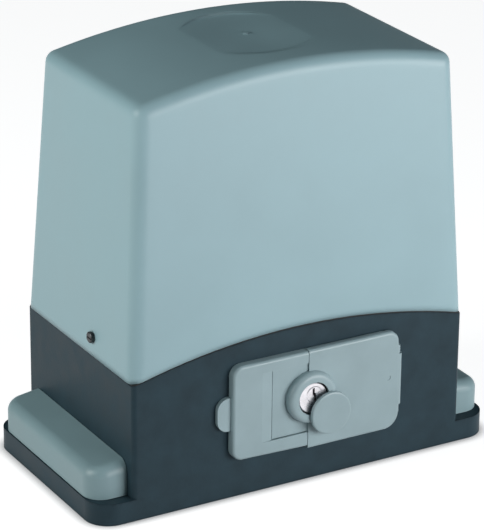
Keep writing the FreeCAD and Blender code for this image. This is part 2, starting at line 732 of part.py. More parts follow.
def clutch_parts():
    body = new_body("clutch_key")
    pad(body, "z", 10, S.key_top, box(-4, -36, 4, -12.8))
    keep(place(body, 0, 0, S.shaft_z))
    body = new_body("clutch_sleeve")
    bore = S.shaft_radius + 0.06
    face = S.hub_face - 0.3
    turn(body, "y", [(bore, -28), (S.sleeve_radius - 1, -28), (S.sleeve_radius, -27),
                     (S.sleeve_radius, -22), (19, -22), (19, -16), (S.sleeve_radius, -16),
                     (S.sleeve_radius, face), (bore, face)])
    dog = pad(body, "y", face - 1, S.hub_face + S.dog_height - 0.5, box(17.9, -4.8, 23.6, 4.8))
    repeat_around(body, "y", dog, 4)
    pocket(body, "z", 9, S.key_top + 0.4, box(-4.25, -30, 4.25, face + 0.01))
    keep(place(body, 0, 0, S.shaft_z))


def release_rod():
    body = new_body("release_rod")
    r = S.rod_radius
    head = S.body_front - 0.1
    turn(body, "y", [(0, -81.1), (4.2, -81.1), (4.6, -80.7), (4.6, head), (r, head), (r, -64.5),
                     (5, -64.5), (5, -62.5), (r, -62.5), (r, -14.5), (0, -14.5)])
    keep(place(body, S.rod_x, 0, S.rod_z))
    # the fork half encircles the sleeve's groove and is clamped on the rod
    fork = new_body("clutch_fork")
    low, high = dim(-21.5), dim(-16.5)
    pad(fork, "y", low, high, disc(0, S.shaft_z, 27))
    pad(fork, "y", low, high, disc(S.rod_x, S.rod_z, 6.5))
    pocket(fork, "y", low - 1, high + 1, disc(0, S.shaft_z, 19.5))
    pocket(fork, "y", low - 1, high + 1, box(-30, 20, 30, S.shaft_z - 4))
    pocket(fork, "y", low - 1, high + 1, disc(S.rod_x, S.rod_z, r + 0.02))
    keep(fork)


def release_spring():
    """An open coil spring between the chamber wall and the rod's collar."""
    coil, wire = 4.7, 0.6
    low, high = -61.8, S.chamber_front.value - 3.8
    turns, sides = 5, 8
    helix = Part.makeHelix((high - low) / turns, high - low, coil)
    corners = []
    for i in range(sides):
        angle = 2 * math.pi * (i + 0.5) / sides
        corners.append(V(coil + wire * math.cos(angle), 0, wire * math.sin(angle)))
    section = Part.makePolygon(corners + corners[:1])
    shape = Part.Wire(helix.Edges).makePipeShell([section], True, True)
    spring = doc.addObject("Part::Feature", "release_spring")
    spring.Shape = shape
    spring.Placement = FreeCAD.Placement(V(S.rod_x.value, high, S.rod_z.value),
                                         FreeCAD.Rotation(V(1, 0, 0), 90))
    return keep(spring, "release_spring")


def pinion():
    body = new_body("pinion")
    module, teeth = S.pinion_module, S.pinion_teeth
    pitch = module * teeth / 2
    tip = pitch + module
    low, high = S.pinion_start, S.pinion_start + S.pinion_width
    turn(body, "y", [(S.pinion_seat + 0.02, low), (24, low), (24, low + 1), (tip - 1, low + 1),
                     (tip, low + 2), (tip, high - 1), (tip - 1, high), (S.pinion_seat + 0.02, high)])
    gap = pocket(body, "y", low - 1, high + 1,
                 (draw_polygon, gap_outline(module.value, teeth.value, 0.05)))
    repeat_around(body, "y", gap, int(teeth.value))
    pocket(body, "z", 5, 13.3, box(-3.02, low - 1, 3.02, high + 1))
    keep(place(body, 0, 0, S.shaft_z))
    key = new_body("pinion_key")
    pad(key, "z", 6.5, 12.8, box(-3, 90, 3, high - 4))
    keep(place(key, 0, 0, S.shaft_z))
    keep(turned("pinion_washer", "y", [(4.3, high), (15, high), (15, high + 3), (4.3, high + 3)],
                0, 0, S.shaft_z))
    keep(hex_screw("pinion_bolt", "y", high + 3, dim(5.5), 13, dim(3.95), dim(20),
                   dim(0), dim(0), S.shaft_z))


# ---------------------------------------------------------------- electrical parts

def capacitor():
    x, y, base, r = -42, 49, 118.6, 17
    keep(turned("motor_capacitor", "z",
                [(0, base), (r - 1, base), (r, base + 1), (r, base + 71), (r - 1, base + 72),
                 (r - 1, base + 70), (0, base + 70)], x, y, 0))
    body = new_body("capacitor_clip")
    pad(body, "z", base + 24, base + 36, disc(0, 0, r + 1.4))
    pad(body, "z", base + 24, base + 36, box(r + 0.5, -1.4, r + 8, 1.4))
    pocket(body, "z", base + 23, base + 37, disc(0, 0, r + 0.05))
    pad(body, "z", base, base + 36, box(r + 7, -4, r + 9, 4))
    pad(body, "z", base, base + 2, box(r + 7, -4, r + 18, 4))
    keep(place(body, x, y, 0))


def transformer():
    x, y, base = -31, -14, 118.6
    core = new_body("transformer_core")
    pad(core, "z", base, base + 50, box(-18, -30, 18, 30))
    pocket(core, "x", -18, 18, box(-20, base + 10, -10, base + 40), box(10, base + 10, 20,
                                                                         base + 40))
    keep(place(core, x, y, 0))
    coil = new_body("transformer_coil")
    pad(coil, "z", base + 10.3, base + 39.7, rounded(-25, -19.7, 25, 19.7, 5))
    pocket(coil, "z", base + 10, base + 40, box(-18.2, -10.2, 18.2, 10.2))
    keep(place(coil, x, y, 0))
    strap = new_body("transformer_strap")
    t = 1.5
    low, top = base, base + 50
    pad(strap, "x", -13, 13,
        polygon((-41, low), (-30, low), (-30, top), (30, top), (30, low), (41, low),
                (41, low + t), (30 + t, low + t), (30 + t, top + t), (-30 - t, top + t),
                (-30 - t, low + t), (-41, low + t)))
    keep(place(strap, x, y, 0))


def electronics():
    """An upright carrier beside the motor with the control board and what is on it."""
    carrier = new_body("board_carrier")
    base = 118.6
    pad(carrier, "x", -79, -76.5, box(-58, base, 58, base + 112))
    pad(carrier, "x", -85, -78, box(-58, base, 58, base + 112))
    pocket(carrier, "x", -86, -79, box(-56, base + 2, 56, base + 110))
    pad(carrier, "z", base, base + 3, box(-77, -36, -54, 28))
    for y in (-48, 48):
        for z in (base + 9, base + 103):
            pad(carrier, "x", -83.6, -78, disc(y, z, 3.2))
    for y in (-48, 48):
        for z in (base + 9, base + 103):
            pocket(carrier, "x", -83.7, -78, disc(y, z, 1.3))
    keep(carrier)
    board = new_body("control_board")
    pad(board, "x", -85.2, -83.6, box(-54, base + 4, 54, base + 108))
    for y in (-48, 48):
        for z in (base + 9, base + 103):
            pocket(board, "x", -85.3, -83.5, disc(y, z, 1.5))
    keep(board)
    blocks = []
    for y, width in ((-42, 24), (-14, 24), (14, 24)):
        body = new_body("block")
        pad(body, "y", y, y + width,
            polygon((-95, base + 14), (-85.2, base + 14), (-85.2, base + 28), (-90, base + 28),
                    (-95, base + 23)))
        ways = 5
        for i in range(ways):
            pocket(body, "x", -96, -91,
                   disc(y + width * (i + 0.5) / ways, base + 18, 1.6))
        blocks.append(body)
    group("terminal_blocks", blocks)
    relays = []
    for y in (8, 30):
        body = new_body("relay")
        pad(body, "x", -101, -85.2, rounded(y, base + 76, y + 16, base + 98, 1))
        relays.append(body)
    group("board_relays", relays)


def limit_switch():
    """The limit switch in the hood's rear notch; its sprung rod is swung by stops on the rack."""
    base = S.chamber_top + S.gasket + S.deck
    bracket = new_body("limit_switch_bracket")
    pad(bracket, "z", base, base + 3, box(-22, 55, 22, 73.6))
    pad(bracket, "z", base, base + 6, box(-14, 56, 14, 73.6))
    keep(bracket)
    body = new_body("limit_switch_housing")
    low = base + 6
    pad(body, "z", low, 150, rounded(-18, 54, 18, 75, 2))
    pad(body, "z", low, 149.6, box(-17.5, 70, 17.5, 79))
    pocket(body, "z", 133, 143, box(-15, 58.6, 15, 82))
    pocket(body, "z", 130, 146, disc(0, 66, 1.55))
    keep(body)
    lever = new_body("limit_lever")
    turn(lever, "y", [(0, 60.5), (3, 60.5), (4.2, 62), (4.2, 71), (3, 72.5), (3, 84), (2.2, 86),
                      (2.2, 120), (3.2, 122), (3.2, 130), (2, 132), (0, 132)])
    pocket(lever, "z", -6, 6, disc(0, 66, 1.55))
    place(lever, 0, 0, 138)
    keep(lever)
    pin = new_body("limit_lever_pin")
    pad(pin, "z", 130, 146, disc(0, 66, 1.5))
    keep(pin)


# ---------------------------------------------------------------- small parts on the base

def cable_grommet():
    r = S.cable_hole
    return keep(turned("cable_grommet", "z",
                       [(r - 5, 0.6), (r - 0.1, 0.6), (r - 0.1, S.floor_thick), (r + 3, S.floor_thick),
                        (r + 3, S.floor_thick + 2.5), (r - 3, S.floor_thick + 2.5), (r - 5, S.floor_thick)],
                       S.cable_x, S.cable_y, 0))


def levelling_screws():
    screws = []
    for sx in (-1, 1):
        for sy in (-1, 1):
            screws.append(turned("screw", "z", cylinder_profile(S.level_hole - 0.05, dim(0.3),
                                                                dim(13)),
                                 sx * S.anchor_x, sy * S.level_y, 0))
    return group("levelling_screws", screws)


def deck_screws():
    seat = S.chamber_top + S.gasket + S.deck
    screws = [hex_screw("screw", "z", seat, dim(4), 9, S.deck_screw, dim(20), dim(x), dim(y),
                        dim(0)) for x, y in DECK_SCREWS]
    return group("gearbox_cover_screws", screws)


def hood_seal():
    body = new_body("hood_seal")
    outer = S.body_half - 0.5
    inner = S.body_half - S.lip_inset + 0.15
    pad(body, "z", 92, 128,
        rounded(-outer, S.body_front + 0.5, outer, S.body_back - 0.5, S.body_corner - 0.5))
    step = S.lip_inset - 0.15
    pocket(body, "z", 90, 130,
           rounded(-inner, S.body_front + step, inner, S.body_back - step,
                   S.inner_corner))
    pocket(body, "y", -90, 90,
           (draw_arch, S.body_half, S.seam + S.seal, S.seam_rise, 170, 140))
    pocket(body, "y", -90, 90, (draw_arch, S.body_half, S.seam, S.seam_rise, 170, 80))
    return keep(body)


# ---------------------------------------------------------------- hood

def hood_form(label, inset, bottom_gap):
    """The hood's tapered, barrel-topped form, drawn in from its outer skin by an inset."""
    body = new_body(label)
    low, high = dim(88), S.hood_top
    wedge = body.newObject("PartDesign::AdditiveWedge", f"{label}_wedge")
    wedge.AttachmentSupport = [(origin_part(body, PLANES["y"]), "")]
    wedge.MapMode = "FlatFace"
    bind(wedge, "Ymin", low)
    bind(wedge, "Ymax", high)
    for z, mark in ((low, ""), (high, "2")):
        up = z - S.seam
        half = S.hood_half - S.hood_taper * up - inset
        front = S.hood_front + S.hood_front_lean * up + inset
        back = S.hood_back - S.hood_back_lean * up - inset
        bind(wedge, f"X{mark}min", -half)
        bind(wedge, f"X{mark}max", half)
        bind(wedge, f"Z{mark}min", -back)
        bind(wedge, f"Z{mark}max", -front)
    doc.recompute()
    edge_half = S.hood_half - S.hood_taper * (S.crown_edge - S.seam)
    pocket(body, "y", -100, 100,
           (draw_arch, edge_half, S.crown_edge - inset, S.crown_rise, 160, 330))
    round_edges(body, S.hood_corner - inset, along("z", 120, 300))
    top = S.crown_edge.value - inset.value - 4
    round_edges(body, S.hood_edge - inset,
                lambda e: e.BoundBox.ZMin > top and any(abs(v.Point.z) > top for v in e.Vertexes))
    if bottom_gap is not None:
        pocket(body, "y", -100, 100,
               (draw_arch, S.body_half, S.seam + bottom_gap, S.seam_rise, 170, 60))
    return body


def hood():
    """The lift-off cover: outer form less inner form, a rear notch, screw holes, a top dish."""
    outer = hood_form("hood_outer_form", dim(0), S.hood_gap)
    # shallow round dish in the roof with the moulding gate's nub at its middle
    crown = S.crown_edge + S.crown_rise
    pocket(outer, "z", crown - 1.3, crown + 6, disc(0, 2, 46))
    pad(outer, "z", crown - 2, crown - 0.7, disc(0, 2, 2.2))
    for side in (-1, 1):
        pocket(outer, "x", side * 130 - 12, side * 130 + 12,
               disc(S.hood_screw_y, S.hood_screw_z, 2.2))
    pocket(outer, "z", 100, 152, box(-20, 60, 20, 90))
    inner = hood_form("hood_inner_form", S.hood_wall, None)
    return keep(cut("hood", outer, inner), "hood")


def hood_screws():
    screws, nuts = [], []
    for side in (-1, 1):
        screw = new_body("screw")
        profile = [(0, 115.6), (2, 115.6), (2, 132.6), (4, 132.6), (4, 134.6), (3.2, 135.2), (0, 135.2)]
        turn(screw, "x", [(r, side * a) for r, a in profile])
        pocket(screw, "x", *sorted((side * 134.4, side * 136)), box(-4.5, -0.5, 4.5, 0.5))
        screws.append(place(screw, 0, S.hood_screw_y, S.hood_screw_z))
        nut = new_body("nut")
        low, high = sorted((side * 116.4, side * 119.6))
        pad(nut, "x", low, high, polygon(*hex_points(0, 0, 7)))
        pocket(nut, "x", low - 1, high + 1, disc(0, 0, 2.05))
        nuts.append(place(nut, 0, S.hood_screw_y, S.hood_screw_z))
    group("hood_screws", screws)
    group("hood_nuts", nuts)


# ---------------------------------------------------------------- foot covers

def foot_cover_form(label, side, inset, low):
    """A foot cover's form, drawn in by an inset: a roof sloping from the wall to a soft edge."""
    body = new_body(label)
    near, far = S.cover_inner + inset, S.cover_outer - inset
    left, right = (near, far) if side > 0 else (-far, -near)
    end = S.cover_end - inset
    pad(body, "z", low, 60, box(left, -end, right, end))
    round_edges(body, 14 - inset,
                along("z", test=lambda p: abs(p.x) > (near.value + far.value) / 2))
    # the roof falls away from the housing towards the rim
    slope = (S.cover_high - S.cover_side) / (S.cover_outer - S.cover_inner)
    roof_near = S.cover_high - inset + 4 * slope
    roof_far = S.cover_side - inset - 4 * slope
    pocket(body, "y", -90, 90,
           polygon((side * (near - 4), roof_near), (side * (far + 4), roof_far),
                   (side * (far + 4), 70), (side * (near - 4), 70)))
    floor_line = S.cover_side.value - inset.value - 3
    round_edges(body, S.cover_edge - inset,
                lambda e: e.BoundBox.ZMin > floor_line
                and (e.BoundBox.YLength < 40 or abs(e.BoundBox.Center.x) > near.value + 5))
    return body


def foot_cover(label, side):
    outer = foot_cover_form(f"{label}_outer_form", side, dim(0), S.cover_low)
    inner = foot_cover_form(f"{label}_inner_form", side, S.cover_wall, S.cover_low - 2)
    return keep(cut(label, outer, inner), label)


# ---------------------------------------------------------------- release lever

def front_edges(front, test):
    """An edge test for the outline of a face on the front plane."""
    def wanted(edge):
        bounds = edge.BoundBox
        flat = bounds.YLength < 0.01 and abs(bounds.YMax - front.value) < 0.01
        return flat and test(bounds.Center)
    return wanted


def ear_heights():
    """The heights of the two hinge ears, one past each end of the lever's barrel."""
    return ((S.barrel_low - 6.5, S.barrel_low - 0.6), (S.barrel_high + 0.6, S.barrel_high + 6))


def release_escutcheon():
    """The fixed plate: left half with a finger tab, a recess for the tongue, two hinge ears."""
    body = new_body("release_escutcheon")
    front, back = S.lever_front, S.body_front
    under = S.lever_back + 0.3
    right, high = S.split_x - 0.5, S.plate_high
    pad(body, "y", front, back,
        polygon((S.plate_left, S.plate_low + 0.8), (right, S.plate_low - 0.8), (right, high),
                (S.plate_left, high)))
    round_edges(body, 8, along("y", test=lambda p: p.x < S.plate_left.value + 8))
    round_edges(body, S.plate_edge, front_edges(front, lambda p: p.x < right.value - 1))
    # a shallow ramp leads down to the tongue
    pocket(body, "z", S.tongue_low - 0.5, S.tongue_high + 0.5,
           polygon((S.tongue_left - 8.8, front - 1), (S.tongue_left - 8.8, front),
                   (S.tongue_left, front + 1.1), (S.tongue_left, front - 1)))
    tab_front = back - 3.2
    pad(body, "y", tab_front, back, rounded(S.plate_left - 10.4, 52.6, S.plate_left + 13, 77.5, 8.5))
    # thin backing behind the lever, out to the hinge
    pad(body, "y", under, back, box(0, S.lever_low + 1.6, S.hinge_x - 3.7, S.lever_high - 0.6))
    round_edges(body, 9, along("y", test=lambda p: p.x > S.hinge_x.value - 6))
    pocket(body, "y", front - 1, under,
           box(S.tongue_left - 0.6, S.tongue_low - 0.5, S.split_x + 1, S.tongue_high + 0.5))
    for low, high in ear_heights():
        pad(body, "z", low, high, disc(S.hinge_x, S.hinge_y, S.ear_radius))
        pad(body, "z", low, high, box(S.hinge_x - S.ear_radius, S.hinge_y, S.hinge_x + 1, back))
        pad(body, "z", low, high, box(S.hinge_x - 6, under, S.hinge_x + 1, back))
    pocket(body, "z", 30, 95, disc(S.hinge_x, S.hinge_y, S.pin_radius + 0.02))
    pocket(body, "y", -90, back, lock_window())
    pocket(body, "y", -90, back, disc(S.rod_x, S.rod_z, 5.2))
    return keep(body)


def release_lever():
    """The hinged lever plate, its tongue, its hinge barrel and the rounded lock boss."""
    body = new_body("release_lever")
    front, back = S.lever_front, S.lever_back
    left, low, high = S.split_x, S.lever_low, S.lever_high
    right = S.hinge_x + 1
    pad(body, "y", front, back,
        polygon((left, low), (right, low), (right, S.barrel_high), (right - 1.2, high - 8.7),
                (right - 1.2, high), (left, high)))
    round_edges(body, 12, along("y", test=lambda p: p.x > 70 and p.z < low.value + 1))
    round_edges(body, 8.5, along("y", test=lambda p: p.x > 70 and p.z > high.value - 1))
    round_edges(body, S.plate_edge, front_edges(front, lambda p: p.x > left.value + 1))
    # cast-in gate mark
    pocket(body, "y", front, front + 0.3, disc(67.2, 66.5, 1.9))
    pad(body, "y", front + S.tongue_set, back,
        box(S.tongue_left, S.tongue_low, left + 2, S.tongue_high))
    pad(body, "y", S.boss_front, back, disc(S.lock_x, S.lock_z, S.boss_radius))
    round_edges(body, 4.2, front_edges(S.boss_front, lambda p: True))
    for z0, z1 in ear_heights():
        pocket(body, "z", z0 - 0.6, z1 + 0.6, disc(S.hinge_x, S.hinge_y, S.ear_radius + 0.2))
        pocket(body, "z", z0 - 0.6, z1 + 0.6,
               box(S.hinge_x - S.ear_radius - 0.4, S.hinge_y, right + 3, back + 1))
    pad(body, "z", S.barrel_low, S.barrel_high, disc(S.hinge_x, S.hinge_y, S.barrel_radius))
    pocket(body, "z", S.barrel_low - 1, S.barrel_high + 1,
           disc(S.hinge_x, S.hinge_y, S.pin_radius + 0.05))
    pocket(body, "y", S.boss_front - 1, S.lock_seat, disc(S.lock_x, S.lock_z, S.lock_mouth))
    pocket(body, "y", S.boss_front - 1, back + 1, disc(S.lock_x, S.lock_z, S.lock_radius + 0.05))
    pocket(body, "y", S.boss_front - 1, back, disc(S.cap_pivot_x, S.cap_pivot_z, S.cap_pin + 0.02))
    return keep(body)


def lever_pin():
    (low, _), (_, high) = ear_heights()
    return keep(turned("lever_hinge_pin", "z",
                       cylinder_profile(S.pin_radius, low + 0.3, high - 0.3, 0.3),
                       S.hinge_x, S.hinge_y, 0))


def lock():
    """The lock: a housing with an off-centre bore, the plug that turns in it, and its cam."""
    r, face, back = S.lock_radius, S.lock_face, S.lever_back
    tail = dim(-73.2)
    body = new_body("lock_housing")
    turn(body, "y", [(0, face), (r - 0.6, face), (r, face + 0.6), (r, back), (9, back), (9, tail),
                     (0, tail)])
    pocket(body, "y", face - 1, tail,
           disc(S.plug_x - S.lock_x, S.plug_z - S.lock_z, S.plug_radius + 0.05))
    keep(place(body, S.lock_x, 0, S.lock_z))
    body = new_body("lock_plug")
    r, face = S.plug_radius, S.lock_face - 0.3
    turn(body, "y", [(0, face), (r - 0.4, face), (r, face + 0.4), (r, tail + 0.4),
                     (3, tail + 0.4), (3, -69), (0, -69)])
    pocket(body, "y", face - 1, face + 8, box(-1.4, -0.6, 0.3, 4.9))
    pocket(body, "y", face - 1, face + 8, box(-0.1, -4.9, 1.3, 1))
    keep(place(body, S.plug_x, 0, S.plug_z))
    body = new_body("lock_cam")
    low, high = tail + 0.8, tail + 3.6
    pad(body, "y", low, high, disc(0, 0, 6.5))
    pad(body, "y", low, high, box(-5, 0, 5, S.cam_reach))
    pocket(body, "y", low - 1, high + 1, disc(0, 0, 3))
    keep(place(body, S.plug_x, 0, S.plug_z))


def dust_cap():
    """A round cap that hangs from a blind pivot beside the lock."""
    r, back, front = S.cap_radius, S.cap_back, S.cap_front
    body = new_body("dust_cap")
    turn(body, "y", [(0, front), (r - 1.2, front), (r - 0.35, front + 0.35), (r, front + 1.2),
                     (r, back), (0, back)])
    pocket(body, "y", front + 1, back,
           disc(S.cap_pivot_x - S.cap_x, S.cap_pivot_z - S.cap_z, S.cap_pin + 0.05))
    keep(place(body, S.cap_x, 0, S.cap_z))
    tip = front + 1.2
    keep(turned("dust_cap_pivot", "y",
                [(0, tip), (S.cap_pin, tip), (S.cap_pin, S.lever_back - 0.1),
                 (0, S.lever_back - 0.1)], S.cap_pivot_x, 0, S.cap_pivot_z))


# ---------------------------------------------------------------- build and write

base_housing()
gearbox_gasket()
gearbox_cover()
deck_screws()
bearings()
worm_wheel()
wheel_hub()
worm_shaft()
rotor_core()
motor_stator()
motor_windings()
motor_end_bell()
motor_tie_bolts()
output_flange()
output_flange_screws()
output_shaft()
clutch_parts()
release_rod()
release_spring()
pinion()
capacitor()
transformer()
electronics()
limit_switch()
cable_grommet()
levelling_screws()
hood_seal()
hood()
hood_screws()
foot_cover("foot_cover_left", -1)
foot_cover("foot_cover_right", 1)
release_escutcheon()
release_lever()
lever_pin()
lock()
dust_cap()
doc.recompute()

faults = [f"{o.Name} ({o.Label}): {o.State}" for o in doc.Objects
          if "Invalid" in o.State or "Error" in o.State]
if faults:
    raise RuntimeError("objects that failed: " + "; ".join(faults))

os.makedirs("parts", exist_ok=True)
for item in OUTPUT:
    shape = item.Shape
    if shape.isNull() or not shape.isValid() or not shape.Solids:
        raise RuntimeError(f"{item.Label} has no valid solid")
    shape.exportStep(f"parts/{item.Label}.step")
    bounds = shape.BoundBox
    print(f"{item.Label:24s} solids {len(shape.Solids)}  volume {shape.Volume / 1000:9.2f} cm3  "
          f"x {bounds.XMin:7.1f} {bounds.XMax:7.1f}  y {bounds.YMin:7.1f} {bounds.YMax:7.1f}  "
          f"z {bounds.ZMin:7.1f} {bounds.ZMax:7.1f}")
print(len(OUTPUT), "nodes")
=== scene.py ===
# %% [markdown]
# # A sliding gate operator
#
# This machine stands beside a sliding gate and drives it through a rack. It has a dark cast
# base with feet, a tall grey hood that lifts off, and a small hinged lever with a lock that
# frees the gate by hand. The solids come from a CAD model. This script gives each of them its
# finish, adds the small parts that are easier to make as computed surfaces, and lights it all.
#
# The first cell loads the CAD model as a fixed frame. Every later size comes from its boxes.

import json
import math

import bmesh
import bpy
import numpy as np
from mathutils import Matrix, Vector


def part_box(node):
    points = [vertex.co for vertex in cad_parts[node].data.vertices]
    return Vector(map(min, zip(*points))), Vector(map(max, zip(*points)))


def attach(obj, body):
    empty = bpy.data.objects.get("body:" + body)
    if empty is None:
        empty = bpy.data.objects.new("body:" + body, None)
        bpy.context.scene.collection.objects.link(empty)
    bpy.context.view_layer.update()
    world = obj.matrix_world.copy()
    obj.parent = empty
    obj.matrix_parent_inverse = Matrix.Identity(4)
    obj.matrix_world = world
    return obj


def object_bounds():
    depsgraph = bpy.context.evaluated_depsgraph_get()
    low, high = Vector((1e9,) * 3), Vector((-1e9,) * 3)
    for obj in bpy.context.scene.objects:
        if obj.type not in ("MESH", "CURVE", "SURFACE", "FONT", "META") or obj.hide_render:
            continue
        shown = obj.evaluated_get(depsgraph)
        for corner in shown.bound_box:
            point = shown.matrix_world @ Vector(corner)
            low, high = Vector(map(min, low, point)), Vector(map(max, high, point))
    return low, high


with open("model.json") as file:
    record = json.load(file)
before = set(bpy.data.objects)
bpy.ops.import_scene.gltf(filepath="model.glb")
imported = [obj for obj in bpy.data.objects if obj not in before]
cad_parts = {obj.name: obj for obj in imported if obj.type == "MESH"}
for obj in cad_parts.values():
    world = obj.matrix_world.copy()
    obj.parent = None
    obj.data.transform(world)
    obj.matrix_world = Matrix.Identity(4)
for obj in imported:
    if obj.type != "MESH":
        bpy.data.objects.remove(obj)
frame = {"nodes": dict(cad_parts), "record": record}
cad_low, cad_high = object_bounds()
nodes = frame["nodes"]
mm = 0.001
print(len(nodes), "CAD nodes; size in mm:", [round(v / mm) for v in (cad_high - cad_low)])

# %% [markdown]
# ## The camera
#
# A long lens far away keeps the upright edges nearly parallel, as in a catalogue picture. The
# camera stands to the left of the front face and looks down at about 22 degrees. Its place
# is a direction and a distance from a point inside the machine, so it is easy to move: the
# two angles turn it round the object and the roll levels the picture.

# %% Camera
AZIMUTH = math.radians(30.04)
ELEVATION = math.radians(22.33)
ROLL = math.radians(0.57)
DISTANCE = 2.0806
LENS = 200.21
aim = Vector((-0.00265, 0.0, 0.13495))


def camera_axes(azimuth, elevation, roll):
    """Right, up and backward directions: backward points from the aim to the camera, right is
    level, up completes the set, and the roll then turns right towards up."""
    back = Vector((-math.sin(azimuth) * math.cos(elevation),
                   -math.cos(azimuth) * math.cos(elevation),
                   math.sin(elevation)))
    right = Vector((0, 0, 1)).cross(back).normalized()
    up = back.cross(right)
    turned_right = right * math.cos(roll) + up * math.sin(roll)
    return turned_right, back.cross(turned_right), back


right, up, back = camera_axes(AZIMUTH, ELEVATION, ROLL)
camera = bpy.data.objects.new("camera", bpy.data.cameras.new("camera"))
camera.data.lens = LENS
camera.data.sensor_width = 36
camera.data.clip_end = 20
camera.matrix_world = Matrix((right, up, back)).transposed().to_4x4()
camera.location = aim + back * DISTANCE
bpy.context.scene.collection.objects.link(camera)
bpy.context.scene.camera = camera
print("camera at", [round(v, 3) for v in camera.location])

# %% [markdown]
# ## Light and floor
#
# Two large soft boxes stand low: one in front and well to the right, one at the left face. A
# small faint one hangs high between them. Low boxes leave the roof of the hood in half shade,
# which shows its barrel shape, and because each box reaches one face, the corner between the
# two faces stays visible. The room adds a dim bluish light to all that the boxes miss. To the
# camera the room is plain white, and so is the floor, through a glow of its own. Only the
# camera and shiny or clear surfaces meet this glow, and it fades close to the machine, which
# leaves a thin contact shadow. The helpers that come before the floor build single shader
# nodes, for the floor and for every finish after it.

# %% Lights
def soft_box(name, place, size, power, colour=(1, 1, 1)):
    """A rectangular area lamp at a place, turned so that its own -Z axis points at the aim."""
    lamp = bpy.data.lights.new(name, "AREA")
    lamp.shape = "RECTANGLE"
    lamp.size, lamp.size_y = size
    lamp.energy = power
    lamp.color = colour
    holder = bpy.data.objects.new(name, lamp)
    holder.location = place
    holder.rotation_mode = "QUATERNION"
    holder.rotation_quaternion = (Vector(place) - aim).to_track_quat("Z", "Y")
    bpy.context.scene.collection.objects.link(holder)
    return holder


soft_box("front_box", (0.78, -1.4, 0.38), (1.2, 0.8), 23.6)
soft_box("side_box", (-1.4, 0.12, 0.75), (0.8, 0.8), 15.6, (0.97, 1, 0.97))
soft_box("top_box", (-0.9, -0.6, 1.5), (0.5, 0.5), 0.4, (0.75, 0.97, 1))
print("lamps:", [lamp.name for lamp in bpy.data.lights])

# %% Room
world = bpy.data.worlds.new("studio")
bpy.context.scene.world = world
world.use_nodes = True
world_nodes = world.node_tree.nodes
world_links = world.node_tree.links
world_nodes.clear()
room = world_nodes.new("ShaderNodeBackground")
room.inputs["Color"].default_value = (0.6, 0.88, 1.0, 1)
room.inputs["Strength"].default_value = 0.058
white = world_nodes.new("ShaderNodeBackground")
white.inputs["Color"].default_value = (1, 1, 1, 1)
rays = world_nodes.new("ShaderNodeLightPath")
choice = world_nodes.new("ShaderNodeMixShader")
world_out = world_nodes.new("ShaderNodeOutputWorld")
world_links.new(rays.outputs["Is Camera Ray"], choice.inputs["Fac"])
world_links.new(room.outputs[0], choice.inputs[1])
world_links.new(white.outputs[0], choice.inputs[2])
world_links.new(choice.outputs[0], world_out.inputs[0])
bpy.context.scene.view_settings.view_transform = "Standard"
print("room light:", room.inputs["Strength"].default_value)


# %% Helpers for shader nodes
def feed(tree, socket, value):
    """Give an input its value: an output of another node is linked, anything else is set."""
    if isinstance(value, bpy.types.NodeSocket):
        tree.links.new(value, socket)
    else:
        socket.default_value = value


def calculate(tree, operation, first, second):
    """One Math node: each operand is a number or a socket."""
    node = tree.nodes.new("ShaderNodeMath")
    node.operation = operation
    feed(tree, node.inputs[0], first)
    feed(tree, node.inputs[1], second)
    return node.outputs[0]


def spread(tree, value, low, high, to_low, to_high):
    """Map Range: a value from low..high carried to to_low..to_high, and held at the ends."""
    node = tree.nodes.new("ShaderNodeMapRange")
    for label, number in (("Value", value), ("From Min", low), ("From Max", high),
                          ("To Min", to_low), ("To Max", to_high)):
        feed(tree, node.inputs[label], number)
    return node.outputs["Result"]


# %% Floor
def flat_sheet(name, half, height):
    """A square at one height: the corners are the four sign pairs times its half width."""
    signs = np.array([(-1, -1), (1, -1), (1, 1), (-1, 1)], float)
    points = np.column_stack([signs * half, np.full(4, height)])
    mesh = bpy.data.meshes.new(name)
    mesh.from_pydata(points.tolist(), [], [(0, 1, 2, 3)])
    sheet = bpy.data.objects.new(name, mesh)
    bpy.context.scene.collection.objects.link(sheet)
    return sheet


def floor_paint(grey=(0.42, 0.42, 0.43), glow=0.86, shadow=0.008):
    """Grey to the light, plus a glow that only camera, mirror and glass rays meet: its
    strength = glow x (1 for these rays, else 0) x (0.3 where half covered, up to 1 in the
    open), where covered means by anything within the shadow's distance."""
    paint = bpy.data.materials.new("floor_paint")
    paint.use_nodes = True
    tree = paint.node_tree
    tree.nodes.clear()
    matt = tree.nodes.new("ShaderNodeBsdfDiffuse")
    matt.inputs["Color"].default_value = (*grey, 1)
    rays = tree.nodes.new("ShaderNodeLightPath").outputs
    seen = calculate(tree, "MAXIMUM", rays["Is Camera Ray"], rays["Is Glossy Ray"])
    seen = calculate(tree, "MAXIMUM", seen, rays["Is Transmission Ray"])
    near = tree.nodes.new("ShaderNodeAmbientOcclusion")
    near.samples = 8
    near.inputs["Distance"].default_value = shadow
    dimmed = spread(tree, near.outputs["AO"], 0.5, 1.0, 0.3, 1.0)
    light = tree.nodes.new("ShaderNodeEmission")
    level = calculate(tree, "MULTIPLY", calculate(tree, "MULTIPLY", seen, glow), dimmed)
    tree.links.new(level, light.inputs["Strength"])
    total = tree.nodes.new("ShaderNodeAddShader")
    out = tree.nodes.new("ShaderNodeOutputMaterial")
    tree.links.new(matt.outputs[0], total.inputs[0])
    tree.links.new(light.outputs[0], total.inputs[1])
    tree.links.new(total.outputs[0], out.inputs[0])
    return paint


floor = flat_sheet("floor", 6, cad_low.z - 0.0002)
floor.data.materials.append(floor_paint())
print("floor at", round(floor.data.vertices[0].co.z, 4))

